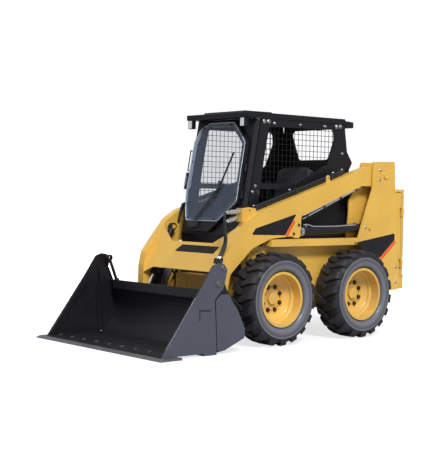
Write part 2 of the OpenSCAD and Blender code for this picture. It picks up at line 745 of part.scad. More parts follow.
module lift_barrels() color(BLACK) both_sides() along(lift_base, lift_eye, arm_mid)
    barrel(lift_len - 66, lift_barrel_d, lift_rod_d, 84, 70, cyl_pin_d);
module lift_rods() color(CHROME) both_sides() along(lift_base, lift_eye, arm_mid)
    rod(lift_len, 90, lift_rod_d, 76, 42, cyl_pin_d);
module tilt_barrels() color(BLACK) both_sides() along(tilt_top, tilt_eye, tilt_y)
    barrel(tilt_len - 130, tilt_barrel_d, tilt_rod_d, 66, 40, cyl_pin_d);
module tilt_rods() color(CHROME) both_sides() along(tilt_top, tilt_eye, tilt_y)
    rod(tilt_len, 134, tilt_rod_d, 66, 40, cyl_pin_d);
module clam_barrels() color(BLACK) both_sides() along(clam_base, clam_eye, clam_y)
    barrel(360, clam_barrel_d, clam_rod_d, 60, 36, clam_pin_d);
module clam_rods() color(CHROME) both_sides() along(clam_base, clam_eye, clam_y)
    rod(clam_len, 222, clam_rod_d, 56, 30, clam_pin_d);

// Bucket

half_bucket = bucket_w / 2;
carrier_out = half_bucket - side_t - jaw_gap;
carrier_in = carrier_out - side_t;
blade_top = ahead(682, 483);
blade_foot = ahead(756, edge_t + 2);
blade_bulge = 105;
blade_chord = norm(blade_foot - blade_top);
blade_r = pow(blade_chord, 2) / (8 * blade_bulge) + blade_bulge / 2;
blade_normal = turned(unit(blade_foot - blade_top), 90);
blade_centre = (blade_top + blade_foot) / 2 + blade_normal * (blade_r - blade_bulge);
blade_from = atan2(blade_top.y - blade_centre.y, blade_top.x - blade_centre.x);
blade_to = atan2(blade_foot.y - blade_centre.y, blade_foot.x - blade_centre.x);

function blade_arc(r, from, to) = arc(blade_centre, r, from, to < from ? to + 360 : to, 14);

module blade_section() {
    polygon(concat(blade_arc(blade_r, blade_from, blade_to),
        [for (i = [14:-1:0]) blade_arc(blade_r - shell_t, blade_from, blade_to)[i]]));
}

module carrier_plate() {
    slab_xz([front_pt(700, 600, 30), front_pt(619, 422, 20), front_pt(545, 330, 40), front_pt(474, 190,
        30), front_pt(474, 112, 24),
        front_pt(690, 22, 20), front_pt(744, 14), front_pt(784, 431, 20), front_pt(800, 590, 30)],
            carrier_in, carrier_out);
}

// Lies flush with the jaw's plate behind the split between them
module split_plate() {
    slab_xz([front_pt(623, 424, 16), front_pt(652, 469, 12), front_pt(733, 470, 12), front_pt(786, 424, 12),
        front_pt(763, 27, 6), front_pt(691, 27, 18), front_pt(478, 114, 20), front_pt(478, 188, 26),
            front_pt(549, 328, 36)],
        carrier_out - e, half_bucket);
}

module bucket_back() color(STEEL) {
    rotate([90, 0, 0]) translate([0, 0,
        -carrier_in - e]) linear_extrude(height = 2 * carrier_in + 2 * e) blade_section();
    slab_xz([front_pt(664, 483), front_pt(699, 483), front_pt(699, 410), front_pt(664, 410)],
        -clam_y + 40, clam_y - 40);
    both_sides() {
        carrier_plate();
        split_plate();
        rod_y(jaw_hinge, carrier_out - 1, half_bucket + 4, jaw_pin_d);
        rod_y(clam_base, clam_y - 18, carrier_in + e, clam_pin_d);
        for (y = [130, 380]) translate([0, y + 6, 0]) rotate([90, 0, 0]) linear_extrude(height = 12)
            polygon(concat([[coupler_face, coupler_low], [coupler_face, coupler_high]],
                [for (i = [5:10]) blade_arc(blade_r - shell_t / 2, blade_from, blade_to)[i]]));
    }
}

module jaw_plate() {
    difference() {
        slab_xz([[tip_x - 61, edge_t, 0], front_pt(934, 530, 60), front_pt(821, 696, 30), front_pt(760,
            716, 30),
            front_pt(700, 706, 34), front_pt(672, 660, 30), front_pt(705, 520, 30), front_pt(796, 431, 30),
            front_pt(770, edge_t)], half_bucket - side_t, half_bucket);
        rod_y(jaw_hinge, half_bucket - side_t - 1, half_bucket + 1, jaw_pin_d + 2 * pin_fit);
    }
    rod_y(clam_eye, clam_y + 17, half_bucket + 5, clam_pin_d);
}

module bucket_jaw() color(STEEL) {
    both_sides() jaw_plate();
    both_sides() slab_xz([[tip_x - 64, edge_t + 4], front_pt(930, 528, 10), front_pt(886, 500, 10),
        [tip_x - 122, edge_t + 4]],
        half_bucket - side_t - 14, half_bucket - side_t + e);
    box([front_axle_x + 770, -half_bucket + side_t - e, edge_t], [tip_x - 61, half_bucket - side_t + e,
        edge_t + shell_t]);
    both_sides() box([front_axle_x + 770, half_bucket - 120, 0], [front_axle_x + 900, half_bucket,
        edge_t + e]);
}

module cutting_edge() color(STEEL) {
    slab_xz([[tip_x, 0], [tip_x, 5], [tip_x - 40, edge_t - e], [tip_x - 205, edge_t - e], [tip_x - 205,
        0]], -edge_w / 2, edge_w / 2);
}

coupler_ear_t = 10;
coupler_gap = 5;
rod_notch_z = tilt_hinge.y + 66;

module coupler() color(BLACK) {
    both_sides() {
        for (y = [arm_outer + coupler_gap, arm_inner - coupler_gap - coupler_ear_t])
            slab_xz([[coupler_face, coupler_low], [coupler_face, coupler_high], [tilt_hinge.x + 30,
                coupler_high - 20, 30],
                [tilt_hinge.x - 38, 250, 36], [tilt_hinge.x - 38, 180, 36]], y, y + coupler_ear_t);
        slab_xz([[coupler_face, 200], [tilt_eye.x + 36, tilt_eye.y + 40, 34], [tilt_eye.x - 36,
            tilt_eye.y + 36, 34],
            [tilt_hinge.x + 20, 200, 20]], tilt_y - 32, tilt_y - 22);
        rod_y(tilt_hinge, arm_inner - coupler_gap - coupler_ear_t,
            arm_outer + 2 * coupler_gap + coupler_ear_t, tilt_pin_d);
    }
    slab_yz([[-arm_outer - 15, coupler_low], [arm_outer + 15, coupler_low], [arm_outer + 15, coupler_high],
        [arm_outer + 5, coupler_high], [arm_outer + 5, tilt_hinge.y + 10], [arm_inner - 5,
            tilt_hinge.y + 10],
        [arm_inner - 5, rod_notch_z], [arm_inner - 90, rod_notch_z, 20], [arm_inner - 110,
            coupler_high, 16],
        [-arm_inner + 110, coupler_high, 16], [-arm_inner + 90, rod_notch_z, 20], [-arm_inner + 5,
            rod_notch_z],
        [-arm_inner + 5, tilt_hinge.y + 10],
        [-arm_outer - 5, tilt_hinge.y + 10], [-arm_outer - 5, coupler_high], [-arm_outer - 15,
            coupler_high]],
        coupler_face - 14, coupler_face);
}

// Wheels

lug_w = 40;
lug_slant = 24;
tyre_steps = 36;

// Half of the carcass below the lugs, from the bead to the crown
function carcass_half(r, half, bead) = [[bead, half - 44], [bead + 14, half - 43], [bead + 27,
    half - 16], [bead + 52, half - 2],
    [bead + 86, half], [r - 26, half - 8], [r - 6, half - 32], [r, half - 62]];

module carcass() {
    upper = carcass_half(tyre_d / 2 - lug_h, tyre_w / 2, rim_d / 2);
    rotate([-90, 0, 0]) rotate_extrude($fn = tyre_steps)
        polygon(concat(upper, [for (i = [len(upper) - 1:-1:0]) [upper[i].x, -upper[i].y]]));
}

// A lug from the shoulder's side to just past the middle of the tread
module lug() {
    half = tyre_w / 2;
    top = tyre_d / 2 - 1;
    translate([0, half / 2, 0]) rotate([lug_slant, 0, 0]) translate([0, -half / 2,
        -lug_w / 2]) linear_extrude(height = lug_w)
        polygon([[top - 52, half - 3], [top - 30, half - 1], [top - 8, half - 12], [top, half - 34],
            [top, -4], [top - 36, -4]]);
}

module tyre() {
    carcass();
    for (i = [0:lug_count - 1]) {
        rotate([0, 90 + i * 360 / lug_count, 0]) lug();
        mirror([0, 1, 0]) rotate([0, 90 + (i + 0.5) * 360 / lug_count, 0]) lug();
    }
}

module rim_section() {
    bead = rim_d / 2 - 0.3;
    out = tyre_w / 2 - 23;
    polygon(rounded([[bead + 12, out], [bead + 12, out - 10], [bead, out - 14], [bead - 3, 20],
        [bead - 22, 8],
        [bead - 22, -60], [bead - 3, -80], [bead, -out + 14], [bead + 12, -out + 10], [bead + 12, -out],
        [bead - 10, -out], [bead - 14, -90], [bead - 33, -66], [bead - 90, -44], [30, -44],
        [30, -32], [bead - 84, -32, 24], [bead - 33, -2, 16], [bead - 33, 14], [bead - 14, 26, 6],
            [bead - 10, out, 2]]));
}

module rim() color(YELLOW) {
    difference() {
        rotate([-90, 0, 0]) rotate_extrude($fn = 72) rim_section();
        for (i = [0:bolt_count - 1]) rotate([0, i * 360 / bolt_count, 0])
            translate([bolt_circle_d / 2, -60, 0]) rotate([-90, 0, 0]) cylinder(h = 60, d = 18);
    }
    rod_y([0, 0], half_chassis - tyre_mid + 1, -40, axle_d);
    rod_y([0, 0], -58, -44 + e, bolt_circle_d + 50);
    rod_y([0, 0], -45, -8, axle_d + 20);
}

module left_wheel(x) {
    translate([x, tyre_mid, axle_z]) children();
}

module right_wheel(x) {
    mirror([0, 1, 0]) left_wheel(x) children();
}

// Doors of the tail

function tail_corners(inset) = [[tail_x + 12 + inset, -half_tail + inset, tail_corner_r - 12 - inset],
    [tail_x + 12 + inset, half_tail - inset, tail_corner_r - 12 - inset]];

vent_pitch = 34;
vent_count = 12;

module rear_door() color(YELLOW) {
    door_edge_x = tail_wall_x - 6;
    difference() {
    translate([0, 0, bumper_top + 6]) linear_extrude(height = tail_top - bumper_top - 6) polygon(rounded([
        each tail_corners(0), [door_edge_x, half_tail], [door_edge_x, half_tail - chassis_t],
        tail_corners(chassis_t)[1], tail_corners(chassis_t)[0], [door_edge_x, -half_tail + chassis_t],
        [door_edge_x, -half_tail]]));
    for (i = [0:vent_count - 1]) box([tail_x, -260, bumper_top + 250 + i * vent_pitch], [tail_x + 40,
        260, bumper_top + 262 + i * vent_pitch]);
    }
    for (z = tail_hinge_z) translate([tail_hinge.x, tail_hinge.y, z]) knuckle(22)
        translate([-24, -17, -hinge_l / 2]) cube([16, 20, hinge_l]);
}

module engine_hood() color(BLACK) {
    difference() {
        translate([0, 0, tail_top + 6]) linear_extrude(height = 24)
            polygon(rounded([each tail_corners(0), [hood_hinge.x - 16, half_tail], [hood_hinge.x - 16,
                -half_tail]]));
        for (i = [0:vent_count - 1]) both_sides()
            box([tail_x + 160 + i * vent_pitch, 40, tail_top], [tail_x + 174 + i * vent_pitch, 300,
                tail_top + 40]);
    }
    both_sides() translate([hood_hinge.x, 230, hood_hinge.y]) rotate([90, 0, 0]) knuckle(22)
        translate([-20, -8, -hinge_l / 2]) cube([20, 16, hinge_l]);
}

chassis_frame();
axle_housings();
boom_towers();
engine_block();
tail_frame();
rear_bumper();
cab_side_left();
cab_side_right();
cab_rear();
cab_roof();
cab_front();
cab_floor();
window_guards();
seat_base();
seat();
lap_bar();
control_levers();
work_lamps();
boom_arm_left();
boom_arm_right();
boom_crossmember();
arm_hydraulics();
arm_hoses();
lift_barrels();
lift_rods();
tilt_barrels();
tilt_rods();
clam_barrels();
clam_rods();
coupler();
bucket_back();
bucket_jaw();
cutting_edge();
color(RUBBER) left_wheel(front_axle_x) tyre();  // tyre_front_left
color(RUBBER) right_wheel(front_axle_x) tyre();  // tyre_front_right
color(RUBBER) left_wheel(rear_axle_x) tyre();  // tyre_rear_left
color(RUBBER) right_wheel(rear_axle_x) tyre();  // tyre_rear_right
left_wheel(front_axle_x) rim();  // rim_front_left
right_wheel(front_axle_x) rim();  // rim_front_right
left_wheel(rear_axle_x) rim();  // rim_rear_left
right_wheel(rear_axle_x) rim();  // rim_rear_right
door_frame();
door_glass();
rear_door();
engine_hood();
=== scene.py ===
"""Dresses the packed skid steer loader: paint, tyres, glass, guards, hoses and small fittings."""

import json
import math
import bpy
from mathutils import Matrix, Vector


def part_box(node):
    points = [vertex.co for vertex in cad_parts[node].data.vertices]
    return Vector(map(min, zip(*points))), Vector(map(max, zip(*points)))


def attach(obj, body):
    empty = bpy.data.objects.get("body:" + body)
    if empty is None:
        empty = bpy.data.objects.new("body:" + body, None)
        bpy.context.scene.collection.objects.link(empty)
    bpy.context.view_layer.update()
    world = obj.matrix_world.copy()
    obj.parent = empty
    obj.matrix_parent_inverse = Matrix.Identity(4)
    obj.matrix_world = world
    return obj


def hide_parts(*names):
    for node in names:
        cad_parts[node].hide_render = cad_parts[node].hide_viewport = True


bl_info = {
    "name": "Skid steer loader dressing",
    "version": (1, 0, 0),
    "blender": (4, 5, 0),
    "location": "View3D > Sidebar > Loader",
    "description": "Adds finishes and fine pieces to the packed skid steer loader",
    "category": "Object",
}

import bmesh
import bpy
from bpy.props import FloatProperty, FloatVectorProperty, IntProperty, PointerProperty
from mathutils import Matrix, Vector

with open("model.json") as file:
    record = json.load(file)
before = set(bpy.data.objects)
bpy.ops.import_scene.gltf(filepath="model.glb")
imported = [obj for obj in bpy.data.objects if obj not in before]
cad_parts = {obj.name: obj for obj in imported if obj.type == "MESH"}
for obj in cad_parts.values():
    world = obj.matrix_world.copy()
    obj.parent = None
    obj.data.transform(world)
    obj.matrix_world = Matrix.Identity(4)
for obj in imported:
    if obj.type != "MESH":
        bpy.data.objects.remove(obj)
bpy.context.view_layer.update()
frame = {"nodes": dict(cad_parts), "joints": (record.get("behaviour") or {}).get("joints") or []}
JOINTS = {joint["name"]: joint for joint in frame["joints"]}
REAR_AXLE = Vector(JOINTS["wheel_rear_left_turn"]["pos_m"])
FRONT_AXLE = Vector(JOINTS["wheel_front_left_turn"]["pos_m"])
TYRE_LOW, TYRE_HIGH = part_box("tyre_front_left")
TYRE_MID = (TYRE_LOW.y + TYRE_HIGH.y) / 2
TYRE_R = (TYRE_HIGH.x - TYRE_LOW.x) / 2
TYRE_HALF = (TYRE_HIGH.y - TYRE_LOW.y) / 2

# Side faces of the machine, from its middle plane, and the lean of the cab's front
CAB_IN, CAB_OUT = 0.394, 0.408
ARM_OUT = 0.565
TOWER_OUT, TOWER_PIN_OUT = 0.585, 0.5912
LEAN = math.radians(10.2)

# How far a fitted piece stands off the face that carries it
PROUD = 0.0002


def back(x, z):
    """A point measured from the rear axle along the ground, in metres."""
    return (REAR_AXLE.x + x, z)


def ahead(x, z):
    """A point measured from the front axle along the ground, in metres."""
    return (FRONT_AXLE.x + x, z)


# Sizes and colours that a user would change


def colour(name, description, default):
    return FloatVectorProperty(name=name, description=description, default=default,
                               subtype="COLOR", size=3, min=0, max=1)


def length(name, description, default):
    return FloatProperty(name=name, description=description, default=default,
                         unit="LENGTH", min=0.0001)


class LoaderPaint(bpy.types.PropertyGroup):
    enamel: colour("Enamel", "Yellow of the frame, boom and rims", (0.725, 0.432, 0.072))
    cab: colour("Cab", "Satin black of the cab and hood", (0.011, 0.011, 0.014))
    bucket: colour("Bucket", "Dark blue-grey of the bucket", (0.066, 0.071, 0.095))
    rubber: colour("Rubber", "Tyres and hoses", (0.016, 0.016, 0.020))
    dust: colour("Dust", "Dust that settles low on the machine", (0.30, 0.25, 0.18))
    stripe: colour("Stripe", "Stripe beside the black panels", (0.76, 0.085, 0.022))
    glass: colour("Glass", "Tint of the door glass", (0.17, 0.21, 0.29))


class LoaderWheels(bpy.types.PropertyGroup):
    lugs: IntProperty(name="Lugs", description="Lugs in each of a tyre's two rows",
                      min=8, max=40, default=18)
    lug_width: length("Lug width", "Width of a lug at the shoulder", 0.074)
    nut_ring: length("Nut ring", "Radius of the ring of wheel nuts", 0.1015)
    nuts: IntProperty(name="Nuts", description="Nuts on each wheel", min=4, max=12, default=8)


class LoaderFittings(bpy.types.PropertyGroup):
    bolt: length("Bolt", "Radius of a bolt head", 0.009)
    wire: length("Wire", "Thickness of the guards' wire", 0.0050)
    mesh_pitch: length("Mesh pitch", "Distance between the guards' wires", 0.048)
    louvre_pitch: length("Louvre pitch", "Distance between the rear door's louvres", 0.034)


class LoaderStage(bpy.types.PropertyGroup):
    floor: length("Floor", "Radius of the floor", 14.0)
    sky: FloatProperty(name="Sky", description="Strength of the sky", min=0, default=0.42)
    key: FloatProperty(name="Key", description="Strength of the key lamp", min=0, default=2.9)


# Finishes


class Value:
    """A number that varies over a surface, for Python's own operators to work on."""

    def __init__(self, finish, socket):
        self.finish, self.socket = finish, socket

    def maths(self, operation, *others):
        values = dict(enumerate((self, *others)))
        made = self.finish.node("ShaderNodeMath", {"operation": operation}, values)
        return Value(self.finish, made.outputs[0])

    def __add__(self, other): return self.maths("ADD", other)
    def __radd__(self, other): return self.maths("ADD", other)
    def __sub__(self, other): return self.maths("SUBTRACT", other)
    def __rsub__(self, other): return self.maths("MULTIPLY", -1.0) + other
    def __mul__(self, other): return self.maths("MULTIPLY", other)
    def __rmul__(self, other): return self.maths("MULTIPLY", other)

    def rise(self, low, high):
        """0 below low and 1 above high, with a soft step between."""
        made = self.finish.node("ShaderNodeMapRange", {"interpolation_type": "SMOOTHSTEP"},
                                {"Value": self, "From Min": low, "From Max": high})
        return Value(self.finish, made.outputs[0])


def plug(tree, socket, value):
    """Links a value or a socket to a node's socket, or sets a number or a colour there."""
    if isinstance(value, Value):
        value = value.socket
    if isinstance(value, bpy.types.NodeSocket):
        tree.links.new(value, socket)
    elif socket.type == "RGBA" and len(value) == 3:
        socket.default_value = (*value, 1)
    else:
        socket.default_value = value


def add_node(tree, kind, settings=None, inputs=None):
    """A node of a tree, with its settings made before its sockets are filled."""
    made = tree.nodes.new(kind)
    for key, value in (settings or {}).items():
        setattr(made, key, value)
    for key, value in (inputs or {}).items():
        plug(tree, made.inputs[key], value)
    return made


class Finish:
    """A material in the making, with the nodes that its surface needs."""

    def __init__(self, name):
        self.material = bpy.data.materials.new(name)
        self.material.use_nodes = True
        self.tree = self.material.node_tree
        self.shader = self.tree.nodes["Principled BSDF"]
        self.place = self.node("ShaderNodeTexCoord").outputs["Object"]
        self.axes = self.node("ShaderNodeSeparateXYZ", {}, {0: self.place}).outputs

    def node(self, kind, settings=None, inputs=None):
        return add_node(self.tree, kind, settings, inputs)

    def axis(self, letter):
        return Value(self, self.axes["XYZ".index(letter)])

    def noise(self, scale, detail=4.0, rough=0.55, stretch=None):
        """Cloudy noise about 0.5, with scale in lumps a metre."""
        place = self.place
        if stretch:
            made = self.node("ShaderNodeMapping", {}, {"Vector": place, "Scale": stretch})
            place = made.outputs[0]
        made = self.node("ShaderNodeTexNoise", {}, {"Vector": place, "Scale": scale,
                                                     "Detail": detail, "Roughness": rough})
        return Value(self, made.outputs["Fac"])

    def cells(self, scale):
        """Distance to the nearest of many scattered points."""
        made = self.node("ShaderNodeTexVoronoi", {}, {"Vector": self.place, "Scale": scale})
        return Value(self, made.outputs["Distance"])

    def mix(self, amount, low, high):
        """A colour between two others."""
        made = self.node("ShaderNodeMix", {"data_type": "RGBA"}, {0: amount, 6: low, 7: high})
        return made.outputs[2]

    def set(self, **values):
        for key, value in values.items():
            plug(self.tree, self.shader.inputs[key.replace("_", " ")], value)
        return self

    def bump(self, height, strength, distance=0.001):
        """The last step: the surface's relief, and the material that it completes."""
        made = self.node("ShaderNodeBump", {}, {"Height": height, "Strength": strength,
                                                "Distance": distance})
        return self.set(Normal=made.outputs[0]).material


def shade(rgb, by):
    """A colour made lighter or darker."""
    return tuple(min(1.0, c * by) for c in rgb)


def enamel(paint):
    """Gloss enamel with a sprayed ripple, faint clouding and dust low down."""
    f = Finish("enamel_yellow")
    clouds = f.noise(2.2, 3)
    fine = f.noise(34, 6, 0.65)
    low = (1 - f.axis("Z").rise(0.18, 0.95)) * f.noise(5, 5, 0.6).rise(0.35, 0.75)
    runs = f.noise(9, 4, 0.5, (1, 1, 0.12)).rise(0.60, 0.82) * 0.30
    body = f.mix(clouds.rise(0.35, 0.65), shade(paint.enamel, 0.95), shade(paint.enamel, 1.05))
    worn = f.mix(fine.rise(0.62, 0.80) * 0.30 + runs * 0.5, body, shade(paint.enamel, 0.72))
    f.set(Base_Color=f.mix(low * 0.34, worn, tuple(paint.dust)),
          Roughness=fine * 0.14 + low * 0.30 + 0.27, Coat_Weight=0.35, Coat_Roughness=0.16)
    return f.bump(f.noise(900, 2) * 0.30 + fine * 0.22, 0.10)


def satin_black(paint):
    """Powder coat with a fine orange peel and grey dust on its upward and lower parts."""
    f = Finish("satin_black")
    fine = f.noise(60, 5, 0.65)
    low = (1 - f.axis("Z").rise(0.4, 1.5)) * f.noise(6, 5, 0.6).rise(0.3, 0.8)
    rub = f.noise(14, 5, 0.7, (1, 1, 0.3)).rise(0.60, 0.80)
    f.set(Base_Color=f.mix(low * 0.12 + rub * 0.05, tuple(paint.cab), (0.11, 0.105, 0.11)),
          Roughness=fine * 0.22 + 0.30, Specular_IOR_Level=0.26, Coat_Weight=0.06,
          Coat_Roughness=0.2)
    return f.bump(f.noise(700, 3) * 0.5 + fine * 0.2, 0.14)


def bucket_paint(paint):
    """Dark blue-grey enamel outside, near black inside, rubbed where earth slides over it."""
    f = Finish("bucket_paint")
    streak = f.noise(16, 6, 0.7, (1, 1, 0.25))
    blotch = f.noise(4, 4, 0.6)
    rub = streak.rise(0.60, 0.74) * (1 - f.axis("Z").rise(0.05, 0.55)) * 0.55
    # Painted shade: faces inside the side plates get a near-black colour in place of the shade that
    # falls in the bucket.
    outer = f.axis("Y").maths("ABSOLUTE").rise(0.797, 0.8045)
    inner = f.mix(blotch, (0.006, 0.006, 0.008), (0.014, 0.014, 0.018))
    base = f.mix(outer, inner, f.mix(blotch, shade(paint.bucket, 0.90), shade(paint.bucket, 1.25)))
    f.set(Base_Color=f.mix(rub * 0.6, base, (0.16, 0.155, 0.17)), Metallic=rub * 0.5,
          Roughness=streak * 0.25 + 0.30, Specular_IOR_Level=0.30, Coat_Weight=0.06,
          Coat_Roughness=0.2)
    return f.bump(streak * 0.6 + f.noise(320, 3) * 0.4, 0.16)


def edge_steel(paint):
    """Bare worn plate with scratches along the dig and brown stain."""
    f = Finish("edge_steel")
    scratch = f.noise(60, 6, 0.75, (0.12, 1, 1))
    stain = f.noise(7, 5, 0.6).rise(0.45, 0.70)
    f.set(Base_Color=f.mix(stain * 0.6, (0.19, 0.19, 0.21), (0.11, 0.082, 0.062)),
          Metallic=0.85 - stain * 0.5, Roughness=scratch * 0.35 + 0.28)
    return f.bump(scratch, 0.25)


def tyre_rubber(paint):
    """Black rubber, with a paler wall and brighter bands where the wall's shoulders catch light."""
    f = Finish("tyre_rubber")
    made = f.node("ShaderNodeUVMap", {"uv_map": "wheel"})
    radius = Value(f, f.node("ShaderNodeSeparateXYZ", {}, {0: made.outputs[0]}).outputs[1])
    mottle = f.noise(24, 6, 0.65)
    wall = radius.rise(0.215, 0.232) * (1 - radius.rise(0.318, 0.332))
    tread = radius.rise(0.372, 0.386)
    rings = (radius * 420).maths("SINE") * wall * 0.15
    bulge = radius.rise(0.236, 0.262) * (1 - radius.rise(0.272, 0.300))
    rib = radius.rise(0.3115, 0.3150) * (1 - radius.rise(0.3225, 0.3260))
    base = f.mix(mottle, shade(paint.rubber, 0.75), shade(paint.rubber, 1.35))
    # Painted reflection: the wall, its bulge and its rib are painted pale grey-blue where light
    # would shine off them.
    wall_painted_sheen = f.mix(wall * 0.44 + (bulge + rib) * 0.42, base, (0.170, 0.176, 0.205))
    f.set(Base_Color=f.mix(tread * mottle * 0.14, wall_painted_sheen, (0.085, 0.082, 0.080)),
          Roughness=0.50 - wall * 0.22 + mottle * 0.14, Specular_IOR_Level=0.35)
    return f.bump(rings + mottle * 0.5 + f.noise(420, 3) * 0.5, 0.22, 0.0012)


def plain(name, noise, dark, light, rough, relief, **more):
    """A finish whose one noise mixes two colours, and drives the roughness and the relief."""
    f = Finish(name)
    spots = f.noise(*noise)
    f.set(Base_Color=f.mix(spots, dark, light), Roughness=spots * rough[0] + rough[1], **more)
    return f.bump(spots, relief)


def chrome(paint):
    """Hard chrome rod with faint draw lines."""
    return plain("rod_chrome", (300, 3, 0.6, (0.1, 1, 0.1)), (0.70, 0.71, 0.74),
                 (0.84, 0.85, 0.87), (0.12, 0.10), 0.03, Metallic=1.0)


def zinc(paint):
    """Plated fittings and bolts, slightly yellowed."""
    return plain("zinc_plate", (90, 5, 0.6), (0.46, 0.46, 0.46), (0.66, 0.65, 0.62),
                 (0.25, 0.24), 0.12, Metallic=1.0)


def dark_bolt(paint):
    """Blackened bolt heads."""
    return plain("dark_bolt", (120, 4, 0.6), (0.028, 0.026, 0.028), (0.085, 0.075, 0.070),
                 (0.2, 0.4), 0.2, Metallic=0.6)


def hose_rubber(paint):
    """Black hose cover with its fine cloth wrap."""
    return plain("hose_rubber", (900, 2, 0.5, (1, 1, 0.2)), (0.014, 0.014, 0.016),
                 (0.045, 0.045, 0.050), (0.2, 0.45), 0.3, Specular_IOR_Level=0.3)


def panel_black(paint):
    """Gloss black film of the side panels."""
    return plain("panel_black", (18, 4, 0.6), (0.010, 0.010, 0.012), (0.022, 0.021, 0.024),
                 (0.15, 0.22), 0.03, Specular_IOR_Level=0.18)


def moulded_plastic(paint):
    """Black moulded plastic of grips, latches and trims."""
    return plain("moulded_plastic", (620, 3), (0.016, 0.016, 0.018), (0.040, 0.040, 0.044),
                 (0.2, 0.42), 0.3, Specular_IOR_Level=0.3)


def panel_stripe(paint):
    """Orange-red film of the stripes, a little sun-faded."""
    f = Finish("panel_stripe")
    haze = f.noise(18, 4, 0.6)
    film = f.mix(haze.rise(0.3, 0.7), tuple(paint.stripe), shade(paint.stripe, 1.18))
    f.set(Base_Color=film, Roughness=haze * 0.15 + 0.26)
    return f.bump(haze, 0.03)


def door_glass(paint):
    """Tinted safety glass with light smears."""
    f = Finish("door_glass")
    smear = f.noise(7, 4, 0.6, (1, 1, 0.4))
    f.set(Base_Color=tuple(paint.glass), Roughness=smear * 0.05 + 0.015,
          Alpha=smear.rise(0.3, 0.8) * 0.05 + 0.20, IOR=1.45)
    return f.material


def glass_border(paint):
    """The grey-blue band printed round the glass, paler at the door's free side."""
    f = Finish("glass_border")
    dots = f.cells(240).rise(0.0, 0.9)
    pale = f.mix(dots, (0.17, 0.21, 0.29), (0.26, 0.31, 0.41))
    dark = f.mix(dots, (0.050, 0.062, 0.085), (0.085, 0.102, 0.135))
    # Painted reflection: the band is pale at the door's free side and dark elsewhere.
    f.set(Base_Color=f.mix(f.axis("Y").rise(-0.30, -0.22), pale, dark),
          Roughness=dots * 0.05 + 0.10)
    return f.bump(dots, 0.01)


def glass_edge(paint):
    """The polished rim of the door's pane, which catches the light."""
    f = Finish("glass_edge")
    wave = f.noise(30, 3)
    f.set(Base_Color=f.mix(wave.rise(0.3, 0.7), (0.42, 0.47, 0.56), (0.66, 0.71, 0.80)),
          Roughness=wave * 0.1 + 0.10, Coat_Weight=0.6)
    return f.bump(wave, 0.02)


def lamp_lens(paint):
    """Clear lens with moulded ribs over a bright bowl."""
    f = Finish("lamp_lens")
    ribs = (f.axis("Y") * 620).maths("SINE") * 0.5 + 0.5
    # Painted reflection: a pale base colour with lighter and darker rib bands.
    f.set(Base_Color=f.mix(ribs, (0.62, 0.66, 0.70), (0.86, 0.89, 0.92)),
          Roughness=ribs * 0.08 + 0.06, Coat_Weight=1.0, Coat_Roughness=0.03)
    return f.bump(ribs, 0.35, 0.002)


def seat_vinyl(paint):
    """Black vinyl with a leather grain and worn crown."""
    f = Finish("seat_vinyl")
    grain = f.cells(420)
    wear = f.noise(8, 4, 0.6)
    f.set(Base_Color=f.mix(wear, (0.020, 0.020, 0.024), (0.050, 0.050, 0.056)),
          Roughness=wear * 0.2 + 0.42, Sheen_Weight=0.1)
    return f.bump(grain, 0.25, 0.0008)


def cast_block(paint):
    """Engine castings, oily and dusty."""
    f = Finish("cast_block")
    oil = f.noise(9, 6, 0.65)
    f.set(Base_Color=f.mix(oil.rise(0.3, 0.7), (0.025, 0.025, 0.028), (0.10, 0.088, 0.072)),
          Roughness=oil * 0.5 + 0.25)
    return f.bump(f.noise(160, 5) + oil, 0.5, 0.002)


FINISHES = {maker.__name__: maker for maker in (
    enamel, satin_black, bucket_paint, edge_steel, tyre_rubber, chrome, zinc, dark_bolt,
    hose_rubber, panel_black, panel_stripe, moulded_plastic, door_glass, glass_border, glass_edge,
    lamp_lens, seat_vinyl, cast_block)}
MADE = {}


def finish(name):
    """The named finish, made the first time it is asked for."""
    if name not in MADE:
        MADE[name] = FINISHES[name](bpy.context.scene.loader_paint)
    return MADE[name]


# Shapes


def shown(name, data):
    """A new object of the scene with this mesh, lamp or camera."""
    made = bpy.data.objects.new(name, data)
    bpy.context.scene.collection.objects.link(made)
    return made


def solid(name, corners, faces, look, smooth=None):
    """A mesh object from corners and faces, smoothed up to an angle in degrees."""
    mesh = bpy.data.meshes.new(name)
    mesh.from_pydata([tuple(c) for c in corners], [], faces)
    mesh.materials.append(finish(look))
    made = shown(name, mesh)
    outwards(made, smooth)
    return made


def outwards(made, smooth=None):
    """Merges doubles, turns every face outwards and smooths the shallow edges."""
    work = bmesh.new()
    work.from_mesh(made.data)
    bmesh.ops.remove_doubles(work, verts=work.verts, dist=1e-6)
    bmesh.ops.recalc_face_normals(work, faces=work.faces)
    for face in work.faces:
        face.smooth = smooth is not None
    if smooth is not None:
        for edge in work.edges:
            if len(edge.link_faces) == 2 and edge.calc_face_angle() > math.radians(smooth):
                edge.smooth = False
    work.to_mesh(made.data)
    work.free()


def prism(name, outline, low, high, look, place, bevel=0.0):
    """A plate: an outline thickened from low to high, and put in place by a function."""
    n = len(outline)
    corners = [place(a, b, t) for t in (low, high) for a, b in outline]
    faces = [tuple(range(n)), tuple(range(2 * n - 1, n - 1, -1))]
    faces += [(i, (i + 1) % n, (i + 1) % n + n, i + n) for i in range(n)]
    made = solid(name, corners, faces, look)
    if bevel:
        work = bmesh.new()
        work.from_mesh(made.data)
        bmesh.ops.bevel(work, geom=work.edges[:], offset=bevel, segments=2, affect="EDGES",
                        clamp_overlap=True)
        work.to_mesh(made.data)
        work.free()
        outwards(made, 35)
    return made


def on_side(y_sign=1):
    """Places a side outline of x and z, with its thickness across the machine."""
    return lambda a, b, t: Vector((a, y_sign * t, b))


DOOR_FOOT = ahead(0.190 + 0.004 * math.tan(LEAN), 0.926)


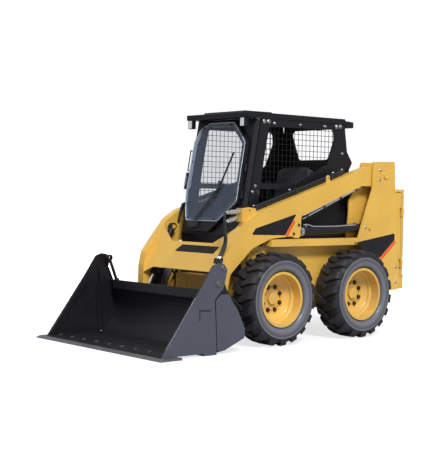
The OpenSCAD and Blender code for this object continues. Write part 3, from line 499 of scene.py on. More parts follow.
def on_front(a, b, t):
    """Places a point of the cab's leaning front: across to the left, up from its foot, and out."""
    return Vector((DOOR_FOOT[0] + t * math.cos(LEAN) - b * math.sin(LEAN), a,
                   DOOR_FOOT[1] + b * math.cos(LEAN) + t * math.sin(LEAN)))


CROSS_LOW = Vector(ahead(0.504, 0.613))
CROSS_TOP = Vector(ahead(0.380, 0.843))


def on_cross(a, b, t):
    """Places a point of the cross-member's front plate: across, up along it, and out from it."""
    up = (CROSS_TOP - CROSS_LOW).normalized()
    spot = CROSS_LOW + up * b + Vector((up.y, -up.x)) * t
    return Vector((spot.x, a, spot.y))


def facing_back(a, b, t):
    """Places an outline of y and z, with its thickness along the machine."""
    return Vector((t, a, b))


def lying(a, b, t):
    """Places an outline of x and y, with its thickness upright."""
    return Vector((a, b, t))


def oblong(low_a, low_b, high_a, high_b, radius=0.0):
    """The outline of a rectangle with rounded corners."""
    return rounded([(low_a, low_b, radius), (high_a, low_b, radius), (high_a, high_b, radius),
                    (low_a, high_b, radius)])


def box(name, low, high, look, bevel=0.002):
    outline = oblong(low[0], low[2], high[0], high[2])
    return prism(name, outline, low[1], high[1], look, on_side(), bevel)


def rounded(path, steps=5):
    """An outline whose corners are rounded where a point has a third number."""
    made = []
    for i, point in enumerate(path):
        b = Vector(point[:2])
        radius = point[2] if len(point) > 2 else 0
        if not radius:
            made.append(tuple(b))
            continue
        a, c = Vector(path[i - 1][:2]), Vector(path[(i + 1) % len(path)][:2])
        u, v = (a - b).normalized(), (c - b).normalized()
        half = math.acos(max(-1, min(1, u.dot(v)))) / 2
        middle = b + (u + v).normalized() * radius / math.sin(half)
        p, q = b + u * radius / math.tan(half) - middle, b + v * radius / math.tan(half) - middle
        first = math.atan2(p.y, p.x)
        sweep = (math.atan2(q.y, q.x) - first + math.pi) % math.tau - math.pi
        for k in range(steps + 1):
            angle = first + sweep * k / steps
            made.append(tuple(middle + radius * Vector((math.cos(angle), math.sin(angle)))))
    return made


def lathe(name, profile, centre, look, steps=96, smooth=32):
    """A turned ring: a closed profile of radius and place across, spun about the Y axis."""
    corners, faces, n = [], [], len(profile)
    for i in range(steps):
        a = math.tau * i / steps
        corners += [Vector((r * math.cos(a), h, r * math.sin(a))) + Vector(centre)
                    for r, h in profile]
        for k in range(n):
            j, following = (k + 1) % n, (i + 1) % steps
            faces.append((i * n + k, i * n + j, following * n + j, following * n + k))
    return solid(name, corners, faces, look, smooth)


def cap(name, centre, radius, depth, look, side):
    """A turned cap that stands out from a side face, with a chamfer and a shallow dish."""
    profile = [(0.0004, 0), (radius, 0), (radius, depth * 0.7), (radius - depth * 0.3, depth),
               (radius * 0.58, depth), (radius * 0.52, depth * 0.6), (0.0004, depth * 0.6)]
    return lathe(name, [(r, side * h) for r, h in profile], centre, look, 40)


def smooth_path(points, steps=8):
    """A smooth line through points."""
    points = [Vector(p) for p in points]
    ends = [points[0] * 2 - points[1], *points, points[-1] * 2 - points[-2]]
    made = []
    for a, b, c, d in zip(ends, ends[1:], ends[2:], ends[3:]):
        for k in range(steps):
            t = k / steps
            made.append(0.5 * (2 * b + (c - a) * t + (2 * a - 5 * b + 4 * c - d) * t ** 2
                               + (3 * b - a - 3 * c + d) * t ** 3))
    return [*made, points[-1]]


def join(name, pieces):
    """Several objects made into one."""
    bpy.context.view_layer.update()
    work = bmesh.new()
    looks = []
    for piece in pieces:
        for material in piece.data.materials:
            if material not in looks:
                looks.append(material)
        turn = [looks.index(material) for material in piece.data.materials]
        start = len(work.faces)
        work.from_mesh(piece.data)
        work.faces.ensure_lookup_table()
        for face in work.faces[start:]:
            face.material_index = turn[face.material_index] if turn else 0
    mesh = bpy.data.meshes.new(name)
    work.to_mesh(mesh)
    work.free()
    for material in looks:
        mesh.materials.append(material)
    for piece in pieces:
        bpy.data.objects.remove(piece)
    return shown(name, mesh)


def flip(piece):
    """Turns a piece into its mirror image across the machine's middle plane."""
    piece.data.transform(Matrix.Scale(-1, 4, (0, 1, 0)))
    piece.data.flip_normals()


def settle(piece, body):
    """Says which body a finished piece rides on, and the record's slot that it takes."""
    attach(piece, body)
    return piece


# Node trees for what repeats


class Grower:
    """A Geometry Nodes tree in the making, with named inputs."""

    def __init__(self, name, inputs):
        self.tree = bpy.data.node_groups.new(name, "GeometryNodeTree")
        face = self.tree.interface
        face.new_socket("Geometry", in_out="INPUT", socket_type="NodeSocketGeometry")
        self.names = {}
        for key, kind in (*inputs, ("Material", "Material")):
            made = face.new_socket(key, in_out="INPUT", socket_type="NodeSocket" + kind)
            self.names[key.lower()] = made.identifier
        face.new_socket("Geometry", in_out="OUTPUT", socket_type="NodeSocketGeometry")
        self.source = self.tree.nodes.new("NodeGroupInput").outputs
        self.end = self.tree.nodes.new("NodeGroupOutput").inputs[0]

    def node(self, kind, settings=None, inputs=None):
        """Adds a node and gives its first output."""
        return add_node(self.tree, kind, settings, inputs).outputs[0]

    def maths(self, operation, *values):
        return self.node("ShaderNodeMath", {"operation": operation}, dict(enumerate(values)))

    def copies(self, points, piece, **more):
        """Closes the tree with copies of a piece at the points."""
        inputs = {"Points": points, "Instance": piece, **more}
        return self.close(self.node("GeometryNodeInstanceOnPoints", {}, inputs))

    def close(self, geometry):
        """Realizes the copies and gives them their material."""
        real = self.node("GeometryNodeRealizeInstances", {}, {0: geometry})
        dressed = self.node("GeometryNodeSetMaterial", {},
                            {"Geometry": real, "Material": self.source["Material"]})
        self.tree.links.new(dressed, self.end)
        return self

    def grow(self, piece, **values):
        """Runs the tree on a piece and keeps the result as its plain mesh."""
        modifier = piece.modifiers.new(self.tree.name, "NODES")
        modifier.node_group = self.tree
        for key, value in values.items():
            modifier[self.names[key]] = value
        grown = piece.evaluated_get(bpy.context.evaluated_depsgraph_get())
        mesh = bpy.data.meshes.new_from_object(grown)
        piece.modifiers.clear()
        mesh.name = piece.name
        piece.data = mesh
        return piece


def ring_tree():
    """Copies a piece round its own origin, about the Y axis."""
    g = Grower("ring_of_pieces", [("Count", "Int"), ("Start", "Float")])
    count = g.source["Count"]
    points = g.node("GeometryNodeMeshLine", {}, {"Count": count, "Offset": (0, 0, 0)})
    share = g.maths("DIVIDE", g.node("GeometryNodeInputIndex"), count)
    angle = g.maths("MULTIPLY_ADD", share, math.tau, g.source["Start"])
    turn = g.node("ShaderNodeCombineXYZ", {}, {1: angle})
    return g.copies(points, g.source["Geometry"], Rotation=turn)


def row_tree():
    """Copies a piece along a straight step."""
    g = Grower("row_of_pieces", [("Count", "Int"), ("Step", "Vector")])
    points = g.node("GeometryNodeMeshLine", {},
                    {"Count": g.source["Count"], "Offset": g.source["Step"]})
    return g.copies(points, g.source["Geometry"])


def bolt_tree():
    """Puts a hexagon head on a washer at every point, along the point's own facing."""
    g = Grower("bolt_heads", [("Radius", "Float")])
    radius = g.source["Radius"]
    height, flat, wide = (g.maths("MULTIPLY", radius, share) for share in (0.75, 0.28, 1.45))
    head, washer = (g.node("GeometryNodeMeshCylinder", {},
                           {"Vertices": sides, "Radius": r, "Depth": depth})
                    for sides, r, depth in ((6, radius, height), (16, wide, flat)))
    lift = g.node("ShaderNodeCombineXYZ", {}, {2: height})
    raised = g.node("GeometryNodeTransform", {}, {"Geometry": head, "Translation": lift})
    both = g.node("GeometryNodeJoinGeometry", {}, {0: washer})
    g.tree.links.new(raised, both.node.inputs[0])
    facing = g.node("GeometryNodeInputNamedAttribute", {"data_type": "FLOAT_VECTOR"},
                    {"Name": "facing"})
    turn = g.node("FunctionNodeAlignRotationToVector", {"axis": "Z"}, {"Vector": facing})
    return g.copies(g.source["Geometry"], both, Rotation=turn)


def pipe_tree():
    """Turns every line of edges into a round bar or hose."""
    g = Grower("round_bars", [("Radius", "Float"), ("Sides", "Int")])
    line = g.node("GeometryNodeMeshToCurve", {}, {0: g.source["Geometry"]})
    ring = g.node("GeometryNodeCurvePrimitiveCircle", {},
                  {"Resolution": g.source["Sides"], "Radius": g.source["Radius"]})
    bar = g.node("GeometryNodeCurveToMesh", {},
                 {"Curve": line, "Profile Curve": ring, "Fill Caps": True})
    return g.close(g.node("GeometryNodeSetShadeSmooth", {}, {0: bar}))


TREES = {}


def tree(maker):
    """The tree of a maker, made the first time it is asked for."""
    if maker not in TREES:
        TREES[maker] = maker()
    return TREES[maker]


def lines(name, paths):
    """Loose lines of edges, for the bar tree to thicken."""
    corners, edges = [], []
    for path in paths:
        edges += [(len(corners) + i, len(corners) + i + 1) for i in range(len(path) - 1)]
        corners += [tuple(p) for p in path]
    mesh = bpy.data.meshes.new(name)
    mesh.from_pydata(corners, edges, [])
    return shown(name, mesh)


def bars(name, paths, radius, look, sides=8):
    """Round bars along paths."""
    return tree(pipe_tree).grow(lines(name, paths), radius=radius, sides=sides,
                                material=finish(look))


def spiral(name, path, radius, wire, look):
    """A wire wound along a path, once for each of its steps."""
    turns = []
    for a, b in zip(path, path[1:]):
        way = (b - a).normalized()
        aside = way.cross(Vector((0, 1, 0))).normalized()
        up = way.cross(aside)
        for k in range(8):
            angle = math.tau * k / 8
            turns.append(a.lerp(b, k / 8)
                         + (aside * math.cos(angle) + up * math.sin(angle)) * radius)
    return bars(name, [turns], wire, look, 5)


def bolts(name, places, radius, look="dark_bolt"):
    """Bolt heads at places, each with the way that it faces."""
    mesh = bpy.data.meshes.new(name)
    mesh.from_pydata([tuple(p) for p, _ in places], [], [])
    facing = mesh.attributes.new("facing", "FLOAT_VECTOR", "POINT")
    facing.data.foreach_set("vector", [c for _, way in places for c in way])
    return tree(bolt_tree).grow(shown(name, mesh), radius=radius, material=finish(look))


# Pieces

SIDES = (("left", 1), ("right", -1))
LOOKS = {
    "enamel": ["chassis_frame", "axle_housings", "boom_towers", "tail_frame", "rear_bumper",
               "boom_arm_left", "boom_arm_right", "boom_crossmember", "rear_door", "engine_hood",
               "rim_front_left", "rim_front_right", "rim_rear_left", "rim_rear_right"],
    "satin_black": ["cab_side_left", "cab_side_right", "cab_rear", "cab_roof", "cab_front",
                    "cab_floor", "seat_base", "lap_bar", "control_levers", "lift_barrels",
                    "tilt_barrels", "clam_barrels", "clam_rods", "coupler", "door_frame",
                    "window_guards", "work_lamps"],
    "bucket_paint": ["bucket_back", "bucket_jaw"],
    "edge_steel": ["cutting_edge"],
    "tyre_rubber": ["tyre_front_left", "tyre_front_right", "tyre_rear_left", "tyre_rear_right"],
    "chrome": ["arm_hydraulics", "lift_rods", "tilt_rods"],
    "hose_rubber": ["arm_hoses"],
    "door_glass": ["door_glass"],
    "seat_vinyl": ["seat"],
    "cast_block": ["engine_block"],
}


def dress_cad():
    """Gives every CAD node its finish."""
    for look, nodes in LOOKS.items():
        for name in nodes:
            node = frame["nodes"][name]
            node.data.materials.clear()
            node.data.materials.append(finish(look))


def joint_place(name):
    """The place of a joint of the record, as x and z."""
    x, _, z = JOINTS[name]["pos_m"]
    return x, z


def carcass_profile():
    """Half of the tyre's section below the lugs, as radius and place across, from the bead out."""
    w, r = TYRE_HALF, TYRE_R
    return [(0.2204, w - 0.044), (0.2345, w - 0.0435), (0.2390, w - 0.030), (0.2450, w - 0.0175),
            (0.2580, w - 0.0065), (0.2750, w - 0.0012), (0.2950, w), (0.3130, w - 0.0016),
            (0.3160, w - 0.0002), (0.3225, w - 0.0002), (0.3260, w - 0.0035), (0.3400, w - 0.0090),
            (0.3520, w - 0.0190), (r - 0.0270, w - 0.036), (r - 0.0235, w - 0.060),
            (r - 0.0215, 0.03)]


def lug(width):
    """One lug of the left row: it climbs the shoulder and slants over the middle."""
    r, w = TYRE_R, TYRE_HALF
    stations = [  # place across, top radius, bottom radius, lag round the tyre, share of the width
        (w - 0.0034, 0.339, 0.322, 0.000, 1.00), (w - 0.0050, 0.356, 0.322, 0.002, 1.00),
        (w - 0.0130, 0.372, 0.335, 0.008, 0.99), (w - 0.0270, r - 0.0060, 0.350, 0.024, 0.95),
        (w - 0.0420, r - 0.0014, 0.356, 0.050, 0.84), (0.056, r, 0.358, 0.088, 0.74),
        (0.040, r, 0.360, 0.096, 0.72), (0.020, r, 0.360, 0.136, 0.70),
        (-0.012, r, 0.360, 0.150, 0.58)]
    draft, nip = 0.012, 0.006
    corners = []
    for y, top, bottom, lag, share in stations:
        half = width / 2 * share / r
        for a, radius in ((-half - draft, bottom), (-half, top - 0.003), (-half + nip, top),
                          (half - nip, top), (half, top - 0.003), (half + draft, bottom)):
            corners.append((radius * math.sin(a + lag), y, radius * math.cos(a + lag)))
    n, total = 6, len(corners)
    faces = [(s + k, s + (k + 1) % n, s + n + (k + 1) % n, s + n + k)
             for s in range(0, total - n, n) for k in range(n)]
    faces += [tuple(range(n)), tuple(range(total - 1, total - n - 1, -1))]
    return solid("lug", corners, faces, "tyre_rubber")


def wheel_uv(mesh, centre):
    """Writes the distance round and out from the axle, in metres, as a UV map."""
    layer = mesh.uv_layers.new(name="wheel")
    for loop in mesh.loops:
        p = mesh.vertices[loop.vertex_index].co - centre
        layer.data[loop.index].uv = (math.atan2(p.z, p.x) * TYRE_R, math.hypot(p.x, p.z))


def make_tyre(axle, side, name, body, node):
    """A cleated tyre: a turned carcass with two rows of slanted lugs."""
    settings = bpy.context.scene.loader_wheels
    centre = Vector((axle.x, side * TYRE_MID, axle.z))
    half = carcass_profile()
    profile = half + [(r, -y) for r, y in reversed(half)]
    parts = [lathe(name + "_carcass", profile, (0, 0, 0), "tyre_rubber", 120, smooth=28)]
    for start, mirrored in ((0.0, False), (math.pi / settings.lugs, True)):
        one = lug(settings.lug_width)
        if mirrored:
            flip(one)
        parts.append(tree(ring_tree).grow(one, count=settings.lugs, start=start,
                                          material=finish("tyre_rubber")))
    tyre = join(name, parts)
    if side < 0:
        flip(tyre)
    tyre.data.transform(Matrix.Translation(centre))
    wheel_uv(tyre.data, centre)
    settle(tyre, body)
    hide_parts(node)


def make_wheel_nuts(axle, side, name, body):
    """The ring of nuts of one wheel."""
    settings = bpy.context.scene.loader_wheels
    places = []
    for i in range(settings.nuts):
        a = math.tau * (i + 0.5) / settings.nuts
        spot = Vector((axle.x + settings.nut_ring * math.cos(a), side * (TYRE_MID - 0.030),
                       axle.z + settings.nut_ring * math.sin(a)))
        places.append((spot, (0, side, 0)))
    settle(bolts(name, places, 0.014), body)


def make_wheels():
    for end, axle in (("front", FRONT_AXLE), ("rear", REAR_AXLE)):
        for hand, side in SIDES:
            body = f"wheel_{end}_{hand}"
            make_tyre(axle, side, f"cleated_tyre_{end}_{hand}", body, f"tyre_{end}_{hand}")
            make_wheel_nuts(axle, side, f"wheel_nuts_{end}_{hand}", body)


def beside(a, b, start, end, near, far):
    """A strip beside a line, between two shares of it and two distances out from it."""
    a, b = Vector(a), Vector(b)
    along = b - a
    out = Vector((along.y, -along.x)).normalized()
    return [tuple(a + along * share + out * away)
            for share, away in ((start, near), (start, far), (end, far), (end, near))]


def make_side_panels():
    """The bare black panels on each arm and tower, with a stripe along their rear edge."""
    front = rounded([(*back(1.186, 0.922), 0.006), (*back(1.142, 0.975), 0.02),
                     (*back(0.670, 1.095), 0.006), (*back(0.802, 0.913), 0.01)])
    rear = rounded([(*back(-0.075, 0.840), 0.004), (*back(-0.596, 0.915), 0.01),
                    (*back(-0.598, 0.854), 0.02), (*back(-0.399, 0.696), 0.03),
                    (*back(-0.234, 0.710), 0.02)])
    front_edge = beside(back(0.802, 0.913), back(0.670, 1.095), 0.0, 0.72, -0.004, -0.030)
    rear_edge = beside(back(-0.399, 0.696), back(-0.598, 0.854), 0.0, 1.0, -0.004, -0.032)
    carriers = (("arm", ARM_OUT, "boom"), ("tower", TOWER_OUT, "chassis"))
    for hand, side in SIDES:
        for kind, outlines, depth, look, slot in (
                ("panel", (front, rear), 0.0012, "panel_black", "cab_black"),
                ("stripe", (front_edge, rear_edge), 0.0014, "panel_stripe", "frame_yellow")):
            for (name, face, body), outline in zip(carriers, outlines):
                piece = prism(f"{name}_{kind}_{hand}", outline, face + PROUD, face + depth, look,
                              on_side(side))
                settle(piece, body)


def inside(point, outline):
    """True if a point lies in an outline."""
    x, y = point
    hit = False
    for (ax, ay), (bx, by) in zip(outline, outline[1:] + outline[:1]):
        if (ay > y) != (by > y) and x < (bx - ax) * (y - ay) / (by - ay) + ax:
            hit = not hit
    return hit


def clipped(outline, start, step, count, along):
    """Straight wires across an outline, cut where they leave it."""
    made = []
    for i in range(count):
        origin = Vector(start) + Vector(step) * i
        run = []
        for k in range(401):
            point = origin + Vector(along) * (k / 400)
            if inside(tuple(point), outline):
                run.append(point)
            elif run:
                made.append((run[0], run[-1]))
                run = []
        if run:
            made.append((run[0], run[-1]))
    return [line for line in made if (line[0] - line[1]).length > 0.01]


def guard(name, outline, place):
    """A window guard: two layers of crossed wires in a round frame bar."""
    settings = bpy.context.scene.loader_fittings
    pitch = settings.mesh_pitch
    xs, zs = zip(*outline)
    x, z, wide, tall = min(xs), min(zs), max(xs) - min(xs), max(zs) - min(zs)
    upright = clipped(outline, (x + pitch / 2, z), (pitch, 0), int(wide / pitch) + 1, (0, tall))
    level = clipped(outline, (x, z + pitch / 2), (0, pitch), int(tall / pitch) + 1, (wide, 0))
    paths = [[place(p.x, p.y, 0.0) for p in line] for line in upright]
    paths += [[place(p.x, p.y, settings.wire * 0.9) for p in line] for line in level]
    edge = [place(a, b, settings.wire * 0.5) for a, b in outline]
    mesh = bars(name + "_wires", paths, settings.wire / 2, "satin_black", 6)
    ring = bars(name + "_ring", [edge + [edge[0]]], 0.006, "satin_black", 8)
    return join(name, [mesh, ring])


def grow_outline(outline, by):
    """An outline with every point moved out from its middle."""
    middle = sum((Vector(p) for p in outline), Vector((0, 0))) / len(outline)
    return [tuple(Vector(p) + (Vector(p) - middle).normalized() * by) for p in outline]


SIDE_WINDOW = [(*back(0.056, 1.852), 0.04), (*back(0.858, 1.838), 0.03),
               (*back(0.900, 1.640), 0.08), (*back(0.952, 1.352), 0.02),
               (*back(0.520, 1.352), 0.06), (*back(0.140, 1.532), 0.04),
               (*back(0.048, 1.742), 0.04)]
LOW_WINDOW = [(*back(0.690, 1.304), 0.014), (*back(0.956, 1.304), 0.014),
              (*back(0.978, 1.180), 0.014), (*back(0.790, 1.180), 0.03)]


def make_guards():
    """Wire guards in the side windows, inside the cab's walls."""
    parts = []
    for hand, side in SIDES:
        for name, window in (("upper", SIDE_WINDOW), ("lower", LOW_WINDOW)):
            outline = grow_outline(rounded(window), 0.018)
            parts.append(guard(f"guard_{name}_{hand}", outline,
                               lambda a, b, t: Vector((a, side * (CAB_IN - 0.007 - t), b))))
    made = join("wire_guards", parts)
    settle(made, "chassis")
    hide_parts("window_guards")


def band(name, outer, inner, low, high, look, place):
    """A flat ring between two outlines of as many points, thickened and put in place."""
    n = len(outer)
    corners = [place(a, b, t) for t in (low, high) for outline in (outer, inner)
               for a, b in outline]
    faces = []
    for i in range(n):
        j = (i + 1) % n
        faces += [(i, j, n + j, n + i), (2 * n + i, 2 * n + j, 3 * n + j, 3 * n + i),
                  (i, j, 2 * n + j, 2 * n + i), (n + i, n + j, 3 * n + j, 3 * n + i)]
    return solid(name, corners, faces, look)


PANE = [(-0.296, 0.092, 0.03), (0.126, 0.092, 0.03), (0.338, 0.266, 0.05), (0.338, 0.784, 0.055),
        (0.160, 0.9594, 0.034), (-0.156, 0.9594, 0.034), (-0.278, 0.906, 0.034),
        (-0.338, 0.792, 0.055), (-0.348, 0.350, 0.09), (-0.324, 0.196, 0.06)]
PANE_FACE = 0.036
STUDS = [(-0.300, 0.240), (-0.322, 0.620), (-0.230, 0.915), (0.130, 0.940), (0.318, 0.740),
         (0.318, 0.330), (0.080, 0.112), (-0.270, 0.116)]


def make_door():
    """The door's polished pane edge, printed border, wrapped side, wiper, studs and latch."""
    pane = rounded(PANE, 6)
    rim = [on_front(a, b, PANE_FACE - 0.0005) for a, b in pane]
    # The rim bar is painted pale: a painted highlight.
    edge = bars("pane_rim", [rim + rim[:2]], 0.0030, "glass_edge")
    settle(edge, "cab_door")
    printed = band("printed_border", grow_outline(pane, -0.004), grow_outline(pane, -0.034),
                   PANE_FACE + 0.0001, PANE_FACE + 0.0007, "glass_border", on_front)
    side = rounded([(-0.341, 0.370, 0.02), (-0.300, 0.370, 0.02), (-0.292, 0.770, 0.05),
                    (-0.245, 0.880, 0.02), (-0.270, 0.893, 0.01), (-0.331, 0.785, 0.04)])
    # The wrapped side takes the border's pale strip, a painted reflection.
    wrapped = prism("wrapped_side", side, PANE_FACE + 0.0008, PANE_FACE + 0.0014, "glass_border",
                    on_front)
    settle(join("pane_border", [printed, wrapped]), "cab_door")

    motor, knee, low, high = (-0.190, 0.060), (0.112, 0.392), (0.066, 0.290), (0.226, 0.690)
    lift, rest = PANE_FACE + 0.020, PANE_FACE + 0.0105
    links = [[on_front(*motor, lift), on_front(*knee, lift)],
             [on_front(motor[0] + 0.026, motor[1] - 0.006, lift),
              on_front(knee[0] + 0.006, knee[1] - 0.02, lift)]]
    arm = bars("wiper_arm", links, 0.0045, "moulded_plastic")
    blade = bars("wiper_blade", [[on_front(*low, rest), on_front(*high, rest)]], 0.0085,
                 "moulded_plastic")
    pivot = prism("wiper_motor", oblong(-0.232, 0.028, -0.120, 0.086, 0.012), 0.0305,
                  lift + 0.006, "moulded_plastic", on_front, 0.003)
    grip = rounded([(knee[0] + a, knee[1] + b, 0.006) for a, b in
                    ((-0.016, -0.03), (0.02, -0.018), (0.014, 0.03), (-0.014, 0.02))])
    saddle = prism("blade_saddle", grip, PANE_FACE + 0.008, lift + 0.005, "moulded_plastic",
                   on_front, 0.002)
    settle(join("wiper", [arm, blade, pivot, saddle]), "cab_door")

    out = on_front(0, 0, 1) - on_front(0, 0, 0)
    studs = bolts("pane_studs", [(on_front(a, b, PANE_FACE), out) for a, b in STUDS], 0.0075)
    settle(studs, "cab_door")
    plate = prism("latch_plate", oblong(-0.383, 0.385, -0.354, 0.505, 0.01), 0.0402, 0.0432,
                  "panel_black", on_front, 0.001)
    paddle = prism("latch_paddle", oblong(-0.378, 0.400, -0.360, 0.490, 0.006), 0.0433, 0.0505,
                   "zinc", on_front, 0.0015)
    settle(join("latch", [plate, paddle]), "cab_door")


def make_lamps():
    """Lenses of the front and rear lamps in their dark housings, with rims round the front ones."""
    low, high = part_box("work_lamps")
    lenses, rims = [], []
    for side in (1, -1):
        y0, y1 = sorted((side * 0.322, side * 0.372))
        z0, z1 = low.z + 0.004, low.z + 0.0735
        lenses.append(box("lens", (high.x + PROUD, y0, z0), (high.x + 0.0042, y1, z1),
                          "lamp_lens", 0.0015))
        edge = [Vector((high.x + 0.003, a, b))
                for a, b in ((y0, z0), (y1, z0), (y1, z1), (y0, z1), (y0, z0))]
        rims.append(bars("rim", [edge], 0.0022, "moulded_plastic"))
        y0, y1 = sorted((side * 0.316, side * 0.390))
        lenses.append(box("lens", (low.x - 0.0042, y0, high.z - 0.058),
                          (low.x - PROUD, y1, high.z - 0.008), "lamp_lens", 0.0015))
    settle(join("lamp_lenses", lenses), "chassis")
    settle(join("lamp_rims", rims), "chassis")


def cushion(name, middle, half, tilt, grooves):
    """A crowned cushion: a block drawn towards an oval, with sewn channels across it."""
    work = bmesh.new()
    bmesh.ops.create_cube(work, size=2)
    bmesh.ops.subdivide_edges(work, edges=work.edges[:], cuts=30, use_grid_fill=True)
    turn = Matrix.Rotation(tilt, 3, "Y")
    for corner in work.verts:
        x, y, z = corner.co
        point = Vector((x, y, z)) / (abs(x) ** 6 + abs(y) ** 6 + abs(z) ** 6) ** (1 / 6)
        sewn = sum(math.exp(-((point.x - g) / 0.035) ** 2) for g in grooves)
        sink = sewn * 0.10 * max(0.0, point.z) * (1 - abs(point.y) ** 6)
        crown = 0.10 * max(0.0, point.z) * (1 - point.x ** 2) * (1 - point.y ** 2)
        point.z += crown - sink
        corner.co = turn @ Vector([p * h for p, h in zip(point, half)]) + Vector(middle)
    mesh = bpy.data.meshes.new(name)
    work.to_mesh(mesh)
    work.free()
    mesh.materials.append(finish("seat_vinyl"))
    made = shown(name, mesh)
    outwards(made, 50)
    return made


def make_seat():
    """The operator's seat: a crowned base cushion and a leaning back, with sewn channels."""
    low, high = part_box("seat")
    foot = low.z + 0.055
    base = cushion("base", ((low.x + high.x) / 2 + 0.035, 0, foot + 0.004),
                   (0.215, 0.236, 0.052), 0.0, (-0.45, 0.0, 0.45))
    lean = math.atan2(0.10, 0.50)
    rest = cushion("rest", (low.x + 0.118, 0, foot + 0.285),
                   (0.232, 0.216, 0.050), math.pi / 2 - lean, (-0.35, 0.1, 0.5))
    made = join("padded_seat", [base, rest])
    settle(made, "chassis")
    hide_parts("seat")


def make_rear():
    """Louvres and catch of the rear door, and the hood's louvres and rear lip."""
    pitch = bpy.context.scene.loader_fittings.louvre_pitch
    face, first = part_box("rear_door")[0].x, 0.755
    blade = prism("blade", [(face - a, first + b) for a, b in
                            ((PROUD, 0.015), (0.0105, 0.006), (0.0105, 0.003), (PROUD, 0.012))],
                  -0.262, 0.262, "enamel", on_side())
    door = tree(row_tree).grow(blade, count=12, step=(0, 0, pitch), material=finish("enamel"))
    door.name = "door_louvres"
    settle(door, "rear_door")
    latch = prism("catch", oblong(-0.330, 0.930, -0.290, 1.020, 0.012), face - 0.010,
                  face - PROUD, "moulded_plastic", facing_back, 0.003)
    lever = prism("lever", oblong(-0.320, 0.942, -0.300, 1.005, 0.006), face - 0.0145,
                  face - 0.0102, "zinc", facing_back, 0.0015)
    settle(join("door_catch", [latch, lever]), "rear_door")

    low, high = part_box("engine_hood")
    lips = []
    for side in (1, -1):
        y0, y1 = sorted((side * 0.038, side * 0.302))
        lip = prism("lip", [(REAR_AXLE.x - a, high.z + b) for a, b in
                            ((0.805, PROUD), (0.797, 0.0075), (0.794, 0.0075), (0.802, PROUD))],
                    y0, y1, "enamel", on_side())
        lips.append(tree(row_tree).grow(lip, count=12, step=(pitch, 0, 0),
                                        material=finish("enamel")))
    edge = high.y - 0.0005
    skirt = rounded([(low.x + 0.0005, -edge, 0.09), (low.x + 0.0005, edge, 0.09),
                     (low.x + 0.076, edge), (low.x + 0.076, -edge)])
    lips.append(prism("skirt", skirt, low.z - 0.0052, low.z - PROUD, "enamel", lying))
    settle(join("hood_louvres", lips), "hood")


LINE_OUT, FEED_OUT = 0.545, 0.548  # how far out the steel lines of the arms and barrels lie
FEED = [(0.573, 0.999), (0.528, 1.003), (0.470, 0.992), (0.430, 0.986), (0.183, 0.986),
        (0.020, 0.992), (-0.100, 0.996)]


def on_arm_top(x, above):
    """A point above the arm's top edge, which falls 0.424 over 1.370 from its rear end."""
    return back(x, 1.531 - (x + 0.250) * 0.424 / 1.370 + above)


def wrapped_route(y, lift):
    """A wrapped hose's way: place along, place across and height above the arm's top edge."""
    return [(1.135, 0.4720, -0.095), (1.120, 0.4720, -0.040), (1.085, 0.4820, lift * 0.8),
            (1.040, y, lift), (0.800, y, lift + 0.002), (0.600, y, lift),
            (0.350, y + 0.002, lift + 0.003), (0.150, y, lift), (0.060, y, lift),
            (0.010, 0.4850, lift * 0.7), (-0.030, 0.4720, -0.045), (-0.040, 0.4720, -0.110)]


def make_wrapped_hoses(hand, side):
    """The two wrapped hoses on top of an arm, with their clamps and the lug beside them."""
    wraps = []
    for y, lift in ((0.4985, 0.0140), (0.5000, 0.0355)):
        route = [(side * aside, *on_arm_top(x, above))
                 for x, aside, above in wrapped_route(y, lift)]
        path = smooth_path([(x, aside, z) for aside, x, z in route], 16)
        wraps.append(bars("core", [path], 0.0095, "hose_rubber", 10))
        wraps.append(spiral("wrap", path, 0.0108, 0.0028, "hose_rubber"))
    clamps = [prism("clamp", [on_arm_top(x + a, above) for a, above in
                              ((-0.012, -0.002), (0.012, -0.002), (0.012, 0.0515),
                               (-0.012, 0.0515))],
                    0.4842, 0.5150, "moulded_plastic", on_side(side), 0.002)
              for x in (0.980, 0.620, 0.180)]
    settle(join(f"hose_clamps_{hand}", clamps), "boom")
    x, z = on_arm_top(0.243, 0)
    lug_outline = rounded([(x - 0.026, z + 0.004), (x + 0.026, z - 0.012),
                           (x + 0.021, z + 0.056, 0.018), (x - 0.017, z + 0.062, 0.018)])
    ear = prism("lug", lug_outline, 0.5152, 0.5232, "enamel", on_side(side), 0.001)
    eye = cap("eye", (x + 0.002, side * 0.5232, z + 0.036), 0.011, 0.004, "zinc", side)
    settle(join(f"hose_lug_{hand}", [ear, eye]), "boom")
    settle(join(f"wrapped_hoses_{hand}", wraps), "boom")


def make_lines():
    """The hoses above the arms, and the steel lines below them and along the lift barrels."""
    for hand, side in SIDES:
        make_wrapped_hoses(hand, side)
        line = [Vector((x, side * LINE_OUT, z)) for x, z in (back(0.579, 1.050),
                                                             back(-0.160, 1.338))]
        pipe = bars(f"steel_line_{hand}", [smooth_path(line, 4)], 0.0065, "chrome", 12)
        settle(pipe, "boom")
        clips = []
        for share in (0.08, 0.36, 0.64, 0.92):
            spot = line[0].lerp(line[1], share)
            clips.append(box("clip", spot - Vector((0.012, 0.010, 0.010)),
                             spot + Vector((0.012, 0.011, 0.016)), "moulded_plastic"))
        settle(join(f"line_clips_{hand}", clips), "boom")
        feed = smooth_path([(back(x, z)[0], side * FEED_OUT, z) for x, z in FEED])
        tube = bars(f"feed_line_{hand}", [feed], 0.0060, "chrome", 12)
        settle(tube, "lift_barrel")


JAW_SIDE = 0.8052  # just clear of the jaw's side plates


